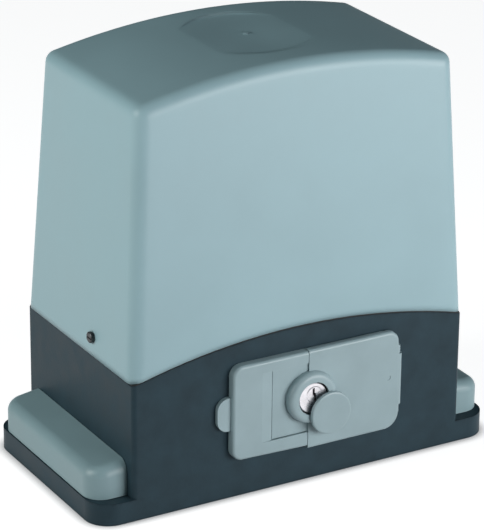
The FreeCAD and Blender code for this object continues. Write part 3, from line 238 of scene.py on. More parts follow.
# %% [markdown]
# ## Shared effects as node groups
#
# Several finishes share the same three effects, so each one is a node group with named
# sockets that is built once. They read the place on the object and its normal, never the
# camera.
#
# * *moulded grain* is the fine spark-eroded texture of a plastic tool or a textured paint:
#   two noises of different size added together, put out as a height for a Bump node.
# * *cloudiness* is the slow change of tone that real paint and plastic have: a soft noise
#   squeezed into a narrow range around one, to multiply a colour with.
# * *edge wear and light* finds edges by comparing a rounded normal with the plain one. The
#   further the two lean apart, the closer the point is to an edge. A noise makes the mark patchy.
#   On the metal parts the mark is wear; on the hood, the foot covers and the lever it is a painted
#   highlight along the rounded edges.

# %% Group helpers
def start_group(name, inputs, outputs):
    """A new shader group with its sockets: (socket name, type, default) for each input."""
    group = bpy.data.node_groups.new(name, "ShaderNodeTree")
    for label, kind, default in inputs:
        socket = group.interface.new_socket(name=label, in_out="INPUT", socket_type=kind)
        if default is not None:
            socket.default_value = default
    for label, kind in outputs:
        group.interface.new_socket(name=label, in_out="OUTPUT", socket_type=kind)
    entry = group.nodes.new("NodeGroupInput")
    leave = group.nodes.new("NodeGroupOutput")
    return group, entry, leave


def noise(tree, vector, scale, detail=2.0, roughness=0.5):
    """A noise texture at a scale in features per metre, or at a socket's scale."""
    node = tree.nodes.new("ShaderNodeTexNoise")
    node.inputs["Detail"].default_value = detail
    node.inputs["Roughness"].default_value = roughness
    tree.links.new(vector, node.inputs["Vector"])
    feed(tree, node.inputs["Scale"], scale)
    return node.outputs["Fac"]


def mixed(tree, first, second, amount=1.0, kind="MIX"):
    """One colour Mix node: first towards second, or multiplied by it, by an amount."""
    node = tree.nodes.new("ShaderNodeMix")
    node.data_type = "RGBA"
    node.blend_type = kind
    for socket, value in zip((node.inputs[0], *node.inputs[6:8]), (amount, first, second)):
        feed(tree, socket, (*value, 1) if isinstance(value, tuple) else value)
    return node.outputs[2]


# %% Group: moulded grain
grain, entry, leave = start_group(
    "moulded_grain",
    [("Vector", "NodeSocketVector", None), ("Grains per metre", "NodeSocketFloat", 900.0)],
    [("Height", "NodeSocketFloat")])
fine = noise(grain, entry.outputs["Vector"], entry.outputs["Grains per metre"], 3.0, 0.6)
wide_scale = calculate(grain, "MULTIPLY", entry.outputs["Grains per metre"], 0.23)
wide = noise(grain, entry.outputs["Vector"], wide_scale, 1.0, 0.5)
both = calculate(grain, "ADD", fine, calculate(grain, "MULTIPLY", wide, 0.6))
grain.links.new(both, leave.inputs["Height"])
print("made", grain.name)

# %% Group: cloudiness
cloud, entry, leave = start_group(
    "cloudiness",
    [("Vector", "NodeSocketVector", None), ("Clouds per metre", "NodeSocketFloat", 30.0),
     ("Depth", "NodeSocketFloat", 0.1)],
    [("Tone", "NodeSocketFloat")])
slow = noise(cloud, entry.outputs["Vector"], entry.outputs["Clouds per metre"], 4.0, 0.55)
darkest = calculate(cloud, "SUBTRACT", 1.0, entry.outputs["Depth"])
lightest = calculate(cloud, "ADD", 1.0, entry.outputs["Depth"])
cloud.links.new(spread(cloud, slow, 0.3, 0.7, darkest, lightest), leave.inputs["Tone"])
print("made", cloud.name)

# %% Group: edge wear and light
edge_marks, entry, leave = start_group(
    "edge_wear_and_light",
    [("Vector", "NodeSocketVector", None), ("Width", "NodeSocketFloat", 0.0008)],
    [("Mask", "NodeSocketFloat")])
rounded_normal = edge_marks.nodes.new("ShaderNodeBevel")
rounded_normal.samples = 4
edge_marks.links.new(entry.outputs["Width"], rounded_normal.inputs["Radius"])
plain = edge_marks.nodes.new("ShaderNodeNewGeometry")
lean = edge_marks.nodes.new("ShaderNodeVectorMath")
lean.operation = "DOT_PRODUCT"
edge_marks.links.new(rounded_normal.outputs["Normal"], lean.inputs[0])
edge_marks.links.new(plain.outputs["Normal"], lean.inputs[1])
apart = spread(edge_marks, lean.outputs["Value"], 0.995, 0.9, 0.0, 1.0)
patchy = spread(edge_marks, noise(edge_marks, entry.outputs["Vector"], 260, 3.0), 0.35, 0.65, 0.15, 1.0)
edge_marks.links.new(calculate(edge_marks, "MULTIPLY", apart, patchy), leave.inputs["Mask"])
print("made", edge_marks.name)

# %% [markdown]
# ## Finishes
#
# One function makes every ordinary finish: a Principled shader whose base colour is
# multiplied by the cloudiness, mixed towards an edge colour near edges, with the
# grain as its bump. On the metal parts the edge colour is wear; on the hood, the foot covers and
# the lever it is a painted highlight, and the base is drawn darker along its edges. Painted
# metal, moulded plastic and bare metal differ only in their values: metals are metallic with a
# stretched or fine grain, plastics have a rougher, even grain, and
# rubber is nearly black with almost no shine. Constant values sit on the shader's own sockets.
# The function also files each finish under its name, so later cells can ask for it by name.

# %% The general finish
finishes = {}


def group_node(tree, group, place, **values):
    """A shared group in a material: it reads the place, and each input gets its value."""
    node = tree.nodes.new("ShaderNodeGroup")
    node.node_tree = group
    tree.links.new(place, node.inputs["Vector"])
    for label, value in values.items():
        node.inputs[label.replace("_", " ")].default_value = value
    return node.outputs[0]


def finish(name, colour, rough, metal=0.0, grain_size=900, grain_height=0.00004,
           clouds=30, depth=0.08, edge=None, edge_width=0.0008, edge_amount=0.5,
           rough_range=0.06, stretch=(1, 1, 1), specular=0.5, coat=0.0, soften=0.0):
    """A procedural finish: tone = colour x cloudiness, towards the edge colour by the edge mask
    (wear on the metal parts, a painted highlight on the hood, foot covers and lever); roughness
    drifts with the same clouds; bump from the grain height, over a normal
    that is rounded within the softening distance of an edge."""
    paint = bpy.data.materials.new(name)
    paint.use_nodes = True
    tree = paint.node_tree
    shader = tree.nodes["Principled BSDF"]
    shader.inputs["Metallic"].default_value = metal
    shader.inputs["Specular IOR Level"].default_value = specular
    shader.inputs["Coat Weight"].default_value = coat
    place = tree.nodes.new("ShaderNodeTexCoord").outputs["Object"]
    mapping = tree.nodes.new("ShaderNodeMapping")
    mapping.inputs["Scale"].default_value = stretch
    tree.links.new(place, mapping.inputs["Vector"])
    place = mapping.outputs["Vector"]

    tone = group_node(tree, cloud, place, Clouds_per_metre=clouds, Depth=depth)
    base = mixed(tree, colour, tone, kind="MULTIPLY")
    if edge is not None:
        # Near edges the colour goes towards the edge colour: wear on metal parts, a painted highlight on
        # the hood, foot covers and lever.
        edge_mark_mask = group_node(tree, edge_marks, place, Width=edge_width)
        base = mixed(tree, base, edge, calculate(tree, "MULTIPLY", edge_mark_mask, edge_amount))
    tree.links.new(base, shader.inputs["Base Color"])
    tree.links.new(spread(tree, tone, 1 - depth, 1 + depth, rough - rough_range, rough + rough_range),
                   shader.inputs["Roughness"])

    bump = tree.nodes.new("ShaderNodeBump")
    bump.inputs["Distance"].default_value = grain_height
    bump.inputs["Strength"].default_value = 1.0
    height = group_node(tree, grain, place, Grains_per_metre=grain_size)
    tree.links.new(height, bump.inputs["Height"])
    if soften:
        eased = tree.nodes.new("ShaderNodeBevel")
        eased.samples = 8
        eased.inputs["Radius"].default_value = soften
        tree.links.new(eased.outputs["Normal"], bump.inputs["Normal"])
    tree.links.new(bump.outputs["Normal"], shader.inputs["Normal"])
    finishes[name] = paint
    return paint


# %% Finishes of the visible shell
# The light edge colours of the hood, the foot covers and the lever are painted highlights along their
# rounded edges.
finish("hood_plastic", (0.305, 0.455, 0.5), 0.42, grain_size=1500, grain_height=0.00003, clouds=14,
       depth=0.035, edge=(0.5, 0.6, 0.64), edge_amount=0.25, soften=0.007)
finish("cover_plastic", (0.222, 0.325, 0.352), 0.45, grain_size=1500, grain_height=0.00003,
       clouds=18, depth=0.05, edge=(0.36, 0.45, 0.47), edge_amount=0.3)
finish("lever_plastic", (0.3, 0.4, 0.43), 0.38, grain_size=1800, grain_height=0.00002, clouds=40,
       depth=0.05, edge=(0.45, 0.55, 0.58), edge_amount=0.35, edge_width=0.0006)
# The base's edge colour is darker than its face, so the base is drawn darker along its edges.
finish("cast_dark", (0.021, 0.042, 0.055), 0.5, grain_size=700, grain_height=0.00007, clouds=60,
       depth=0.16, edge=(0.009, 0.018, 0.026), edge_amount=0.85, edge_width=0.003, specular=0.15)
finish("lock_chrome", (0.72, 0.70, 0.73), 0.28, metal=1.0, grain_size=4000, grain_height=0.000006,
       clouds=200, depth=0.06, rough_range=0.08)
finish("rubber_black", (0.018, 0.019, 0.02), 0.62, grain_size=1200, grain_height=0.00004,
       clouds=80, depth=0.2, specular=0.35)
print("shell finishes:", list(finishes))

# %% Finishes of the metal parts
finish("cast_alloy", (0.5, 0.51, 0.52), 0.52, metal=1.0, grain_size=1100, grain_height=0.00009,
       clouds=50, depth=0.12, edge=(0.75, 0.75, 0.75), edge_amount=0.5)
finish("steel", (0.5, 0.5, 0.51), 0.3, metal=1.0, grain_size=900, grain_height=0.00001, clouds=70,
       depth=0.08, stretch=(1, 0.08, 1))
finish("zinc_steel", (0.6, 0.59, 0.52), 0.34, metal=1.0, grain_size=1600, grain_height=0.00002,
       clouds=300, depth=0.12, edge=(0.8, 0.8, 0.78), edge_amount=0.4, edge_width=0.0004)
finish("black_zinc", (0.05, 0.052, 0.055), 0.4, metal=0.7, grain_size=1600, grain_height=0.00002,
       clouds=300, depth=0.15)
finish("gear_steel", (0.36, 0.36, 0.37), 0.33, metal=1.0, grain_size=1300, grain_height=0.00002,
       clouds=90, depth=0.14, edge=(0.7, 0.7, 0.7), edge_amount=0.6, edge_width=0.0005)
finish("bronze", (0.58, 0.36, 0.14), 0.34, metal=1.0, grain_size=1200, grain_height=0.00002,
       clouds=80, depth=0.12, edge=(0.85, 0.65, 0.35), edge_amount=0.5, edge_width=0.0005)
finish("hub_iron", (0.2, 0.2, 0.21), 0.5, metal=0.9, grain_size=1000, grain_height=0.00008,
       clouds=80, depth=0.15, edge=(0.5, 0.5, 0.5), edge_amount=0.5)
finish("bearing_steel", (0.56, 0.57, 0.58), 0.22, metal=1.0, grain_size=2500,
       grain_height=0.000006, clouds=120, depth=0.05)
finish("gasket_paper", (0.2, 0.16, 0.1), 0.85, grain_size=2500, grain_height=0.00005, clouds=200,
       depth=0.2, specular=0.2)
print("finishes so far:", len(finishes))

# %% [markdown]
# ## Finishes with a direction
#
# The motor's iron is a stack of half-millimetre sheets, and its windings are bundles of
# enamelled wire. Both are the general finish with one more height: bands made by a Wave
# texture, straight for the sheets and distorted for the wire. They are drawn about 2 mm apart,
# coarser than the real sheets and wires, so that they still show from a few steps away. In the
# dips the colour is darkened: partly the dark joints between sheets, partly painted shade in the
# grooves between the round strands of wire. The
# transformer's coil uses the same function with wide, faint bands, the edges of its tape.

# %% Banded finish
def banded(name, colour, rough, metal, bands, height, dark, wander=0.0, coat=0.0):
    """The general finish with so many bands to the metre: where the wave dips, the tone drops
    towards dark and the height falls, so each sheet or strand stands out from the next. The
    darker dips are partly dark joints, partly painted shade in the grooves."""
    paint = finish(name, colour, rough, metal, grain_size=1500, grain_height=0.00001,
                   clouds=60, depth=0.1, coat=coat)
    tree = paint.node_tree
    shader = tree.nodes["Principled BSDF"]
    place = next(n for n in tree.nodes if n.type == "MAPPING").outputs["Vector"]
    wave = tree.nodes.new("ShaderNodeTexWave")
    wave.bands_direction = "Z"
    wave.inputs["Scale"].default_value = bands * math.pi / 10
    wave.inputs["Distortion"].default_value = wander
    wave.inputs["Detail"].default_value = 1.0
    wave.inputs["Detail Scale"].default_value = 0.6
    tree.links.new(place, wave.inputs["Vector"])
    base = next(n for n in tree.nodes if n.type == "MIX").outputs[2]
    # Darker dips: partly the dark joints, partly painted shade in the grooves between sheets and
    # strands.
    lines = spread(tree, wave.outputs["Fac"], 0.0, 0.45, dark, 1.0)
    tree.links.new(mixed(tree, base, lines, kind="MULTIPLY"), shader.inputs["Base Color"])
    bump = next(n for n in tree.nodes if n.type == "BUMP")
    ridge = tree.nodes.new("ShaderNodeBump")
    ridge.inputs["Distance"].default_value = height
    tree.links.new(wave.outputs["Fac"], ridge.inputs["Height"])
    tree.links.new(bump.outputs["Normal"], ridge.inputs["Normal"])
    tree.links.new(ridge.outputs["Normal"], shader.inputs["Normal"])
    return paint


banded("laminations", (0.2, 0.21, 0.22), 0.5, 0.7, bands=450, height=0.0002, dark=0.75)
# The copper's deep dark dips are mostly painted shade between the round strands.
banded("copper", (0.42, 0.13, 0.045), 0.3, 0.35, bands=550, height=0.0004, wander=2.5, dark=0.35,
       coat=0.5)
banded("coil_tape", (0.5, 0.36, 0.07), 0.32, 0.0, bands=130, height=0.00025, dark=0.75, coat=0.4)
print("finishes so far:", len(finishes))

# %% [markdown]
# ## The circuit board and its moulded parts
#
# A printed board is green solder mask over copper tracks. The tracks show as slightly lighter
# lines. Here they are a regular square mesh that a coarse noise breaks into runs, so that no
# real circuit is drawn, and the same mask lifts the surface a little.

# %% Board finish
def track_mask(tree, place, spacing, axis, noise_scale, part):
    """Straight tracks at a spacing along one axis, kept only where a coarse noise is below a
    share: mask = (wave above 0.8, softly) x (noise below part)."""
    wave = tree.nodes.new("ShaderNodeTexWave")
    wave.bands_direction = axis
    wave.inputs["Scale"].default_value = math.pi / (10 * spacing)
    tree.links.new(place, wave.inputs["Vector"])
    lines = spread(tree, wave.outputs["Fac"], 0.72, 0.8, 0.0, 1.0)
    kept = spread(tree, noise(tree, place, noise_scale, 0.0), part, part + 0.02, 1.0, 0.0)
    return calculate(tree, "MULTIPLY", lines, kept)


def board_finish(name, mask_colour, track_colour):
    """Solder mask with raised lighter tracks in two directions over the general finish."""
    paint = finish(name, mask_colour, 0.3, grain_size=1500, grain_height=0.00001,
                   clouds=50, depth=0.1, coat=0.3)
    tree = paint.node_tree
    shader = tree.nodes["Principled BSDF"]
    place = next(n for n in tree.nodes if n.type == "MAPPING").outputs["Vector"]
    upright = track_mask(tree, place, 0.0018, "Y", 70, 0.5)
    level = track_mask(tree, place, 0.0018, "Z", 55, 0.47)
    tracks = calculate(tree, "MAXIMUM", upright, level)
    base = next(n for n in tree.nodes if n.type == "MIX").outputs[2]
    tree.links.new(mixed(tree, base, track_colour, tracks), shader.inputs["Base Color"])
    raised = tree.nodes.new("ShaderNodeBump")
    raised.inputs["Distance"].default_value = 0.00008
    tree.links.new(tracks, raised.inputs["Height"])
    tree.links.new(raised.outputs["Normal"], shader.inputs["Normal"])
    return paint


board_finish("pcb_green", (0.012, 0.085, 0.035), (0.03, 0.16, 0.06))
finish("terminal_green", (0.03, 0.25, 0.08), 0.35, grain_size=2500, grain_height=0.00001,
       clouds=200, depth=0.06)
finish("relay_black", (0.012, 0.012, 0.015), 0.25, grain_size=2500, grain_height=0.00001,
       clouds=150, depth=0.1)
finish("capacitor_white", (0.6, 0.6, 0.57), 0.3, grain_size=1200, grain_height=0.00001, clouds=40,
       depth=0.05)
finish("carrier_black", (0.022, 0.022, 0.025), 0.5, grain_size=1600, grain_height=0.00003,
       clouds=60, depth=0.12, edge=(0.08, 0.08, 0.085), edge_amount=0.3)
print("all finishes:", sorted(finishes))

# %% [markdown]
# ## Dressing the CAD nodes
#
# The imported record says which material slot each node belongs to. Each slot has a finish of
# the same name above, so dressing is one loop, and a slot with no finish stops the script. The
# hood's screws are zinc plated like all the others, but blackened, so they get their own.

# %% Dress the nodes
slot_of = {part["node"]: part["material_slot"] for part in frame["record"]["subparts"]}
own_finish = {"hood_screws": "black_zinc"}
for name, solid in nodes.items():
    solid.data.materials.clear()
    solid.data.materials.append(finishes[own_finish.get(name, slot_of[name])])
print("dressed", len(nodes), "nodes in", len(set(slot_of.values())), "finishes")

# %% [markdown]
# ## Computed surfaces
#
# The small parts below are surfaces worked out on a grid. A *stack* is a row of rings, one
# over the other, with quads between neighbours and a face over each end. Turned parts have
# circles as rings, moulded blocks have rounded rectangles, and a coil has small circles
# carried along a helix. A shell is a pair of its points and its faces, so shells are easy to
# place, to repeat and to join into one piece.

# %% Stacks of rings
def stack(rings, loop=False):
    """Quads between neighbouring rings of a (rings x points x 3) grid. The shell is closed by a
    face over the first ring and one over the last, or, in a loop, by joining these two rings."""
    rows, columns = rings.shape[:2]
    ring = np.arange(rows if loop else rows - 1)[:, None] * columns
    above = (ring + columns) % (rows * columns)
    step = np.arange(columns)[None, :]
    after = (step + 1) % columns
    quads = np.stack([ring + step, ring + after, above + after, above + step], axis=-1)
    faces = quads.reshape(-1, 4).tolist()
    if not loop:
        last = (rows - 1) * columns
        faces += [list(range(columns - 1, -1, -1)), list(range(last, last + columns))]
    return rings.reshape(-1, 3), faces


def turned(profile, steps=32, loop=False):
    """A turned shell: (r, h) becomes (r cos a, r sin a, h) for every angle a of a full turn. A
    ring's profile is a loop away from the axis."""
    radius, height = np.array(profile, float).T
    angle = np.linspace(0, 2 * np.pi, steps, endpoint=False)
    return stack(np.stack([radius[:, None] * np.cos(angle), radius[:, None] * np.sin(angle),
                           np.repeat(height[:, None], steps, axis=1)], axis=-1), loop)


def moulded(width, depth, levels, corner=0.3, steps=4):
    """A moulded block: each level is (inset, height); its ring is a rounded rectangle whose
    corners are quarter circles c + r (cos a, sin a) about points inside the corners."""
    angle = np.radians((np.arange(4)[:, None] * 90 + np.linspace(0, 90, steps)).ravel())
    side_u = np.repeat([1, -1, -1, 1], steps)
    side_v = np.repeat([1, 1, -1, -1], steps)
    rings = []
    for inset, height in levels:
        radius = max(corner - inset, 0.05)
        u = side_u * (width / 2 - inset - radius) + radius * np.cos(angle)
        v = side_v * (depth / 2 - inset - radius) + radius * np.sin(angle)
        rings.append(np.column_stack([u, v, np.full(len(u), height)]))
    return stack(np.array(rings))


def tube(path, radius, steps=8):
    """A tube round a path: p(t) + r (cos a n + sin a b), where n is square to the tangent and
    to the fixed direction z, and b is square to both."""
    tangent = np.gradient(path, axis=0)
    tangent /= np.linalg.norm(tangent, axis=1)[:, None]
    normal = np.cross(tangent, (0, 0, 1))
    normal /= np.linalg.norm(normal, axis=1)[:, None]
    across = np.cross(tangent, normal)
    angle = np.linspace(0, 2 * np.pi, steps, endpoint=False)[None, :, None]
    return stack(path[:, None] + radius * (np.cos(angle) * normal[:, None]
                                           + np.sin(angle) * across[:, None]))


# %% Placing and joining shells
SLANT = math.sqrt(0.5)
AXES = {
    "x": ((0, 1, 0), (0, 0, 1), (1, 0, 0)),
    "-x": ((0, 1, 0), (0, 0, 1), (-1, 0, 0)),
    "y": ((1, 0, 0), (0, 0, 1), (0, 1, 0)),
    "-y": ((1, 0, 0), (0, 0, 1), (0, -1, 0)),
    "z": ((1, 0, 0), (0, 1, 0), (0, 0, 1)),
    "slant": ((0, 1, 0), (SLANT, 0, SLANT), (-SLANT, 0, SLANT)),
}
sizes = {}


def put(shell, place, up="z", turn=0.0):
    """Carry a shell to a place in mm: its own third axis goes along `up`, after a turn in
    degrees about that axis."""
    points, faces = shell
    c, s = math.cos(math.radians(turn)), math.sin(math.radians(turn))
    spun = points @ np.array([[c, s, 0], [-s, c, 0], [0, 0, 1]])
    return spun @ np.array(AXES[up], float) + np.array(place, float), faces


def add_piece(name, shells, body, slot_name, smooth=True):
    """One closed piece from several shells in mm: it gets its slot's finish, rides its body,
    and its faces are turned outwards."""
    points, faces, start = [], [], 0
    for shell_points, shell_faces in shells:
        points.append(shell_points)
        faces += [[start + k for k in face] for face in shell_faces]
        start += len(shell_points)
    mesh = bpy.data.meshes.new(name)
    mesh.from_pydata((np.vstack(points) * mm).tolist(), [], faces)
    shape = bmesh.new()
    shape.from_mesh(mesh)
    bmesh.ops.recalc_face_normals(shape, faces=shape.faces)
    shape.to_mesh(mesh)
    shape.free()
    made = bpy.data.objects.new(name, mesh)
    bpy.context.scene.collection.objects.link(made)
    made.data.materials.append(finishes[slot_name])
    if smooth:
        mesh.shade_smooth()
        mesh.set_sharp_from_angle(angle=math.radians(35))
    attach(made, body)
    sizes[name] = len(mesh.polygons)
    return made


def corners(node):
    """The low and the high corner of a CAD node's box, in mm."""
    return [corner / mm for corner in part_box(node)]


# %% [markdown]
# ## The lock's painted shade ring
#
# A thin black ring lies in the step round the lock, between the chromed housing and the
# lever's boss. It is painted shade: it stands for the shadowed inner wall of that step. It is
# a flat ring with rounded edges, so its profile is a small closed loop.

# %% Lock shade ring
lock_low, lock_high = corners("lock_housing")
lock_middle = (lock_low + lock_high) / 2
lock_radius = (lock_high.x - lock_low.x) / 2
step_depth = 1.0
section = [(0.06, -0.02), (0.86, -0.02), (0.86, 0.5), (0.7, 0.7), (0.25, 0.7), (0.06, 0.5)]
shade_ring = turned([(lock_radius + out, height) for out, height in section], 96, loop=True)
lock_place = (lock_middle.x, lock_low.y + step_depth, lock_middle.z)
# The ring is painted shade in the step round the lock.
add_piece("lock_shade_ring", [put(shade_ring, lock_place, "-y")], "release_lever", "rubber_black")
print("lock seal at", [round(v, 1) for v in lock_place], "radius", round(lock_radius, 1))

# %% [markdown]
# ## The limit switch's spring
#
# The rod that the stops on the rack push over is wound with a close coil spring, which on the
# real switch lets it bend a little; here the rod stays stiff and the coil rides on it. The coil
# is a helix about the rod: (R cos t, R sin t, p t / 2 pi), where R is the coil's radius and p the pitch.

# %% Spring on the limit rod
rod_low, rod_high = corners("limit_lever")
rod = (rod_low + rod_high) / 2
rod_start = 87.0
turns, pitch, coil_radius, wire = 32, 1.05, 2.72, 0.45
t = np.linspace(0, 2 * np.pi * turns, turns * 20)
helix = np.column_stack([coil_radius * np.cos(t), coil_radius * np.sin(t), pitch * t / (2 * np.pi)])
coil = put(tube(helix, wire), (rod.x, rod_start, rod.z), "y")
add_piece("limit_rod_spring", [coil], "limit_lever", "steel")
print("spring turns:", turns, "length", round(pitch * turns, 1), "mm")

# %% [markdown]
# ## Screw heads
#
# The brackets, the board and the terminals are held by small screws. Each head is turned: a
# flat rim, a domed edge and a socket in the middle.

# %% Screws of the brackets
def screw_head(radius, height):
    """A button head with a round socket: out along the foot, up the dome, down the socket."""
    dome = [(radius * math.cos(a), height * (0.35 + 0.65 * math.sin(a)))
            for a in np.linspace(0, 1.1, 6)]
    return turned([(radius, 0.0)] + dome + [(radius * 0.42, height * 0.96),
                                            (radius * 0.4, height * 0.45),
                                            (radius * 0.1, height * 0.35)], 28)


deck = corners("transformer_strap")[0].z
screws_by_bracket = {
    "transformer strap": (1.5, [(-31, -52), (-31, 24)]),
    "capacitor clip": (2, [(-11.5, 49)]),
    "board carrier": (3, [(-65, -29), (-65, 21)]),
    "limit switch bracket": (2.9, [(-18, 64), (18, 64)]),
}
heads = [put(screw_head(3.2, 2.4), (x, y, deck + foot))
         for foot, places in screws_by_bracket.values() for x, y in places]
add_piece("bracket_screws", heads, "base", "zinc_steel")
print("bracket screws:", len(heads))

# %% Screws of the board and the terminals
board_low = corners("control_board")[0]
face = board_low.x
corner_screws = [(face, y, board_low.z + up) for y in (-48, 48) for up in (5, 99)]
add_piece("board_screws", [put(screw_head(2.8, 1.8), place, "-x") for place in corner_screws],
          "base", "zinc_steel")
clamp = turned([(1.75, -0.6), (1.75, 0.3), (1.5, 0.55), (0.4, 0.55), (0.3, 0.1), (0.1, 0.1)], 20)
block_starts, block_length, ways = (-42, -14, 14), 24, 5
wire_rows = [start + block_length * (k + 0.5) / ways for start in block_starts for k in range(ways)]
clamps = [put(clamp, (-92.5, y, board_low.z + 21.5), "slant") for y in wire_rows]
add_piece("terminal_screws", clamps, "base", "zinc_steel")
print("board screws:", len(corner_screws), "terminal screws:", len(clamps))

# %% [markdown]
# ## What is on the control board
#
# A gate controller has a processor and its small chips, smoothing capacitors, a fuse, a row
# of switches for its settings, trimmers for force and pause time, push buttons, lights,
# resistors and a header for the radio receiver. Every one stands on the board's face and
# sticks out towards -X. Places are given as (along the board, up the board) from its lower
# front corner in mm.

# %% Chips
def on_board(shell, along, up, turn=0.0):
    """Stand a shell on the board's face, so many mm along and up from its lower front corner."""
    return put(shell, (face, board_low.y + along, board_low.z + up), "-x", turn)


def chip(along, up, pins, turn=0.0):
    """A dual in-line package: a bevelled body and two rows of bent legs, one pitch apart."""
    pitch = 2.54
    package = moulded(pins / 2 * pitch + 1, 7, [(0.35, 0.5), (0, 2.0), (0.35, 3.8)], 0.4)
    leg = moulded(1.0, 0.35, [(0, -0.02), (0, 2.1), (0.1, 2.25)], 0.1, 2)
    c, s = math.cos(math.radians(turn)), math.sin(math.radians(turn))
    legs = []
    for k in range(pins // 2):
        for side in (-1, 1):
            u, v = (k - (pins / 2 - 1) / 2) * pitch, side * 3.75
            legs.append(on_board(leg, along + u * c - v * s, up + u * s + v * c, turn))
    return on_board(package, along, up, turn), legs


chips, legs = [], []
for along, up_face, pins, turn in ((36, 72, 28, 0), (30, 55, 8, 90), (44, 55, 8, 90), (60, 55, 14, 0)):
    package, its_legs = chip(along, up_face, pins, turn)
    chips.append(package)
    legs += its_legs
add_piece("board_chips", chips, "base", "relay_black")
add_piece("board_chip_legs", legs, "base", "steel", smooth=False)
print("chips:", len(chips), "legs:", len(legs))


# %% Smoothing capacitors
def smoothing_can(radius, height):
    """A sleeved can: crimped near the foot and rounded into its flat lid."""
    return turned([(radius - 0.3, 0), (radius, 0.3), (radius, 1.4), (radius - 0.35, 1.8),
                   (radius, 2.2), (radius, height - 0.6), (radius - 0.3, height - 0.1),
                   (radius - 0.9, height)], 36)


def smoothing_lid(radius, height):
    """The bare metal disc that the sleeve's end leaves open."""
    return turned([(radius - 0.95, height - 0.3), (radius - 0.95, height - 0.02),
                   (radius - 1.1, height + 0.05), (0.2, height + 0.05)], 36)


cans = ((90, 64, 5, 14), (78, 64, 5, 14), (94, 48, 3.2, 9), (85, 48, 3.2, 9), (30, 98.6, 4, 11))
for name, shape, slot_name in (("board_capacitors", smoothing_can, "relay_black"),
                               ("board_capacitor_lids", smoothing_lid, "steel")):
    shells = [on_board(shape(radius, height), along, up_face) for along, up_face, radius, height in cans]
    add_piece(name, shells, "base", slot_name)
print("capacitors:", len(cans))

# %% Fuse and resistors
control_row = 41
fuse = turned([(2.45, 0), (2.6, 0.3), (2.6, 14.7), (2.45, 15)], 28)
cap = turned([(2.5, 0), (2.9, 0.3), (2.9, 4.7), (2.7, 5)], 28)
fuse_place = np.array((face - 5.2, board_low.y + 14, board_low.z + control_row))
add_piece("board_fuse", [put(fuse, fuse_place + (0, 2.5, 0), "y")], "base", "capacitor_white")
add_piece("board_fuse_caps", [put(cap, fuse_place + (0, shift, 0), "y") for shift in (0, 15)],
          "base", "steel")
holder = moulded(5, 7, [(0, -0.02), (0, 2.6), (0.3, 2.9)], 0.4)
add_piece("board_fuse_holders", [on_board(holder, along, control_row) for along in (16.5, 31.5)],
          "base", "relay_black")
barrel = turned([(0.35, 0), (1.1, 0.25), (1.25, 0.8), (1.05, 1.4), (1.05, 4.6), (1.25, 5.2),
                 (1.1, 5.75), (0.35, 6)], 20)
resistors = [put(barrel, (face - 1.25, board_low.y + 38 + 4 * k, board_low.z + 82)) for k in range(6)]
add_piece("board_resistors", resistors, "base", "coil_tape")
print("fuse 1, resistors:", len(resistors))

# %% Switches and trimmers
block = moulded(21, 9, [(0.3, 0), (0, 0.3), (0, 4.2), (0.3, 4.5)], 0.4)
slider = moulded(1.3, 1.6, [(0, 4.3), (0, 5.2), (0.15, 5.4)], 0.2, 3)
row_pitch = 2.54
add_piece("setting_switches", [on_board(block, 24, 88)], "base", "relay_black")
sliders = [on_board(slider, 24 + row_pitch * (k - 3.5), 88 + (1.2, -1.2)[k % 3 == 0])
           for k in range(8)]
add_piece("setting_sliders", sliders, "base", "capacitor_white")
trimmer = moulded(7, 7, [(0.2, 0), (0, 0.3), (0, 4.4), (0.4, 4.8)], 0.5)
dial = turned([(2.4, 4.6), (2.4, 5.6), (2.1, 5.9), (0.9, 5.9), (0.8, 5.2), (0.2, 5.2)], 28)
for name, shell, slot_name in (("trimmers", trimmer, "relay_black"),
                               ("trimmer_dials", dial, "capacitor_white")):
    add_piece(name, [on_board(shell, along, control_row) for along in (48, 57, 66)], "base", slot_name)
print("sliders:", len(sliders), "trimmers: 3")

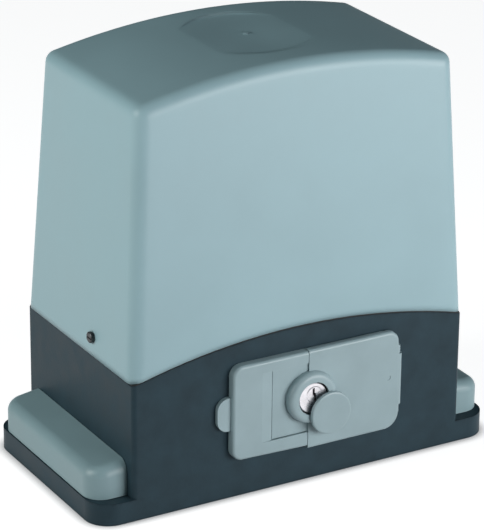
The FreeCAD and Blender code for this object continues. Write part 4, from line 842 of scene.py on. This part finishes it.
# %% Buttons, lights and the radio header
button = moulded(6, 6, [(0.2, 0), (0, 0.2), (0, 3.2), (0.3, 3.5)], 0.3)
plunger = turned([(1.7, 3.3), (1.7, 4.7), (1.4, 5.0), (0.3, 5.0)], 24)
buttons = [on_board(shell, along, control_row) for along in (78, 88) for shell in (button, plunger)]
add_piece("push_buttons", buttons, "base", "relay_black")
dome = [(1.5 * math.cos(a), 2.6 + 1.5 * math.sin(a)) for a in np.linspace(0.2, 1.5, 6)]
light = turned([(1.9, 0), (1.9, 0.9), (1.5, 1.0), (1.5, 2.6)] + dome, 24)
add_piece("signal_lights", [on_board(light, 46 + 5 * k, 33.5) for k in range(6)], "base",
          "terminal_green")
header = moulded(10 * row_pitch, 2.5, [(0, 0), (0, 2.5)], 0.2)
pin = moulded(0.64, 0.64, [(0, 2.4), (0, 8.2), (0.15, 8.6)], 0.1, 2)
add_piece("radio_header", [on_board(header, 90, 28)], "base", "relay_black")
add_piece("radio_header_pins", [on_board(pin, 90 + row_pitch * (k - 4.5), 28) for k in range(10)],
          "base", "zinc_steel", smooth=False)
print("so far", sum(sizes.values()), "faces in", len(sizes), "pieces")

# %% [markdown]
# ## Terminals of the capacitor and the transformer
#
# The motor's capacitor has two pairs of flat blades in the well of its lid, and the
# transformer's coil ends in a row of solder lugs on each side.

# %% Blades and lugs
lid_low, lid_high = corners("motor_capacitor")
centre = (lid_low + lid_high) / 2
blade = moulded(6.3, 0.8, [(0, 0), (0, 8.2), (0.35, 9.0)], 0.3, 3)
rivet = turned([(2.6, 0), (2.6, 1.0), (2.2, 1.3), (0.4, 1.3)], 24)
pairs = (centre.x - 5.5, centre.x + 5.5)
blades = [put(blade, (x, centre.y + v, lid_high.z - 1.9)) for x in pairs for v in (-2.4, 2.4)]
add_piece("capacitor_blades", blades, "base", "zinc_steel")
add_piece("capacitor_rivets", [put(rivet, (x, centre.y, lid_high.z - 2.05)) for x in pairs],
          "base", "steel")
coil_low, coil_high = corners("transformer_coil")
lug = moulded(3.2, 0.6, [(0, 0), (0, 4.6), (0.8, 5.6)], 0.25, 3)
lug_inset, lug_pitch = 3.4, 2.6
lugs = [put(lug, (x, coil_low.y + 16 + lug_pitch * k, coil_high.z - 0.3), "z", 90)
        for x in (coil_low.x + lug_inset, coil_high.x - lug_inset) for k in range(-3, 4)]
add_piece("transformer_lugs", lugs, "base", "zinc_steel")
print("new pieces:", len(sizes), "with", sum(sizes.values()), "faces")
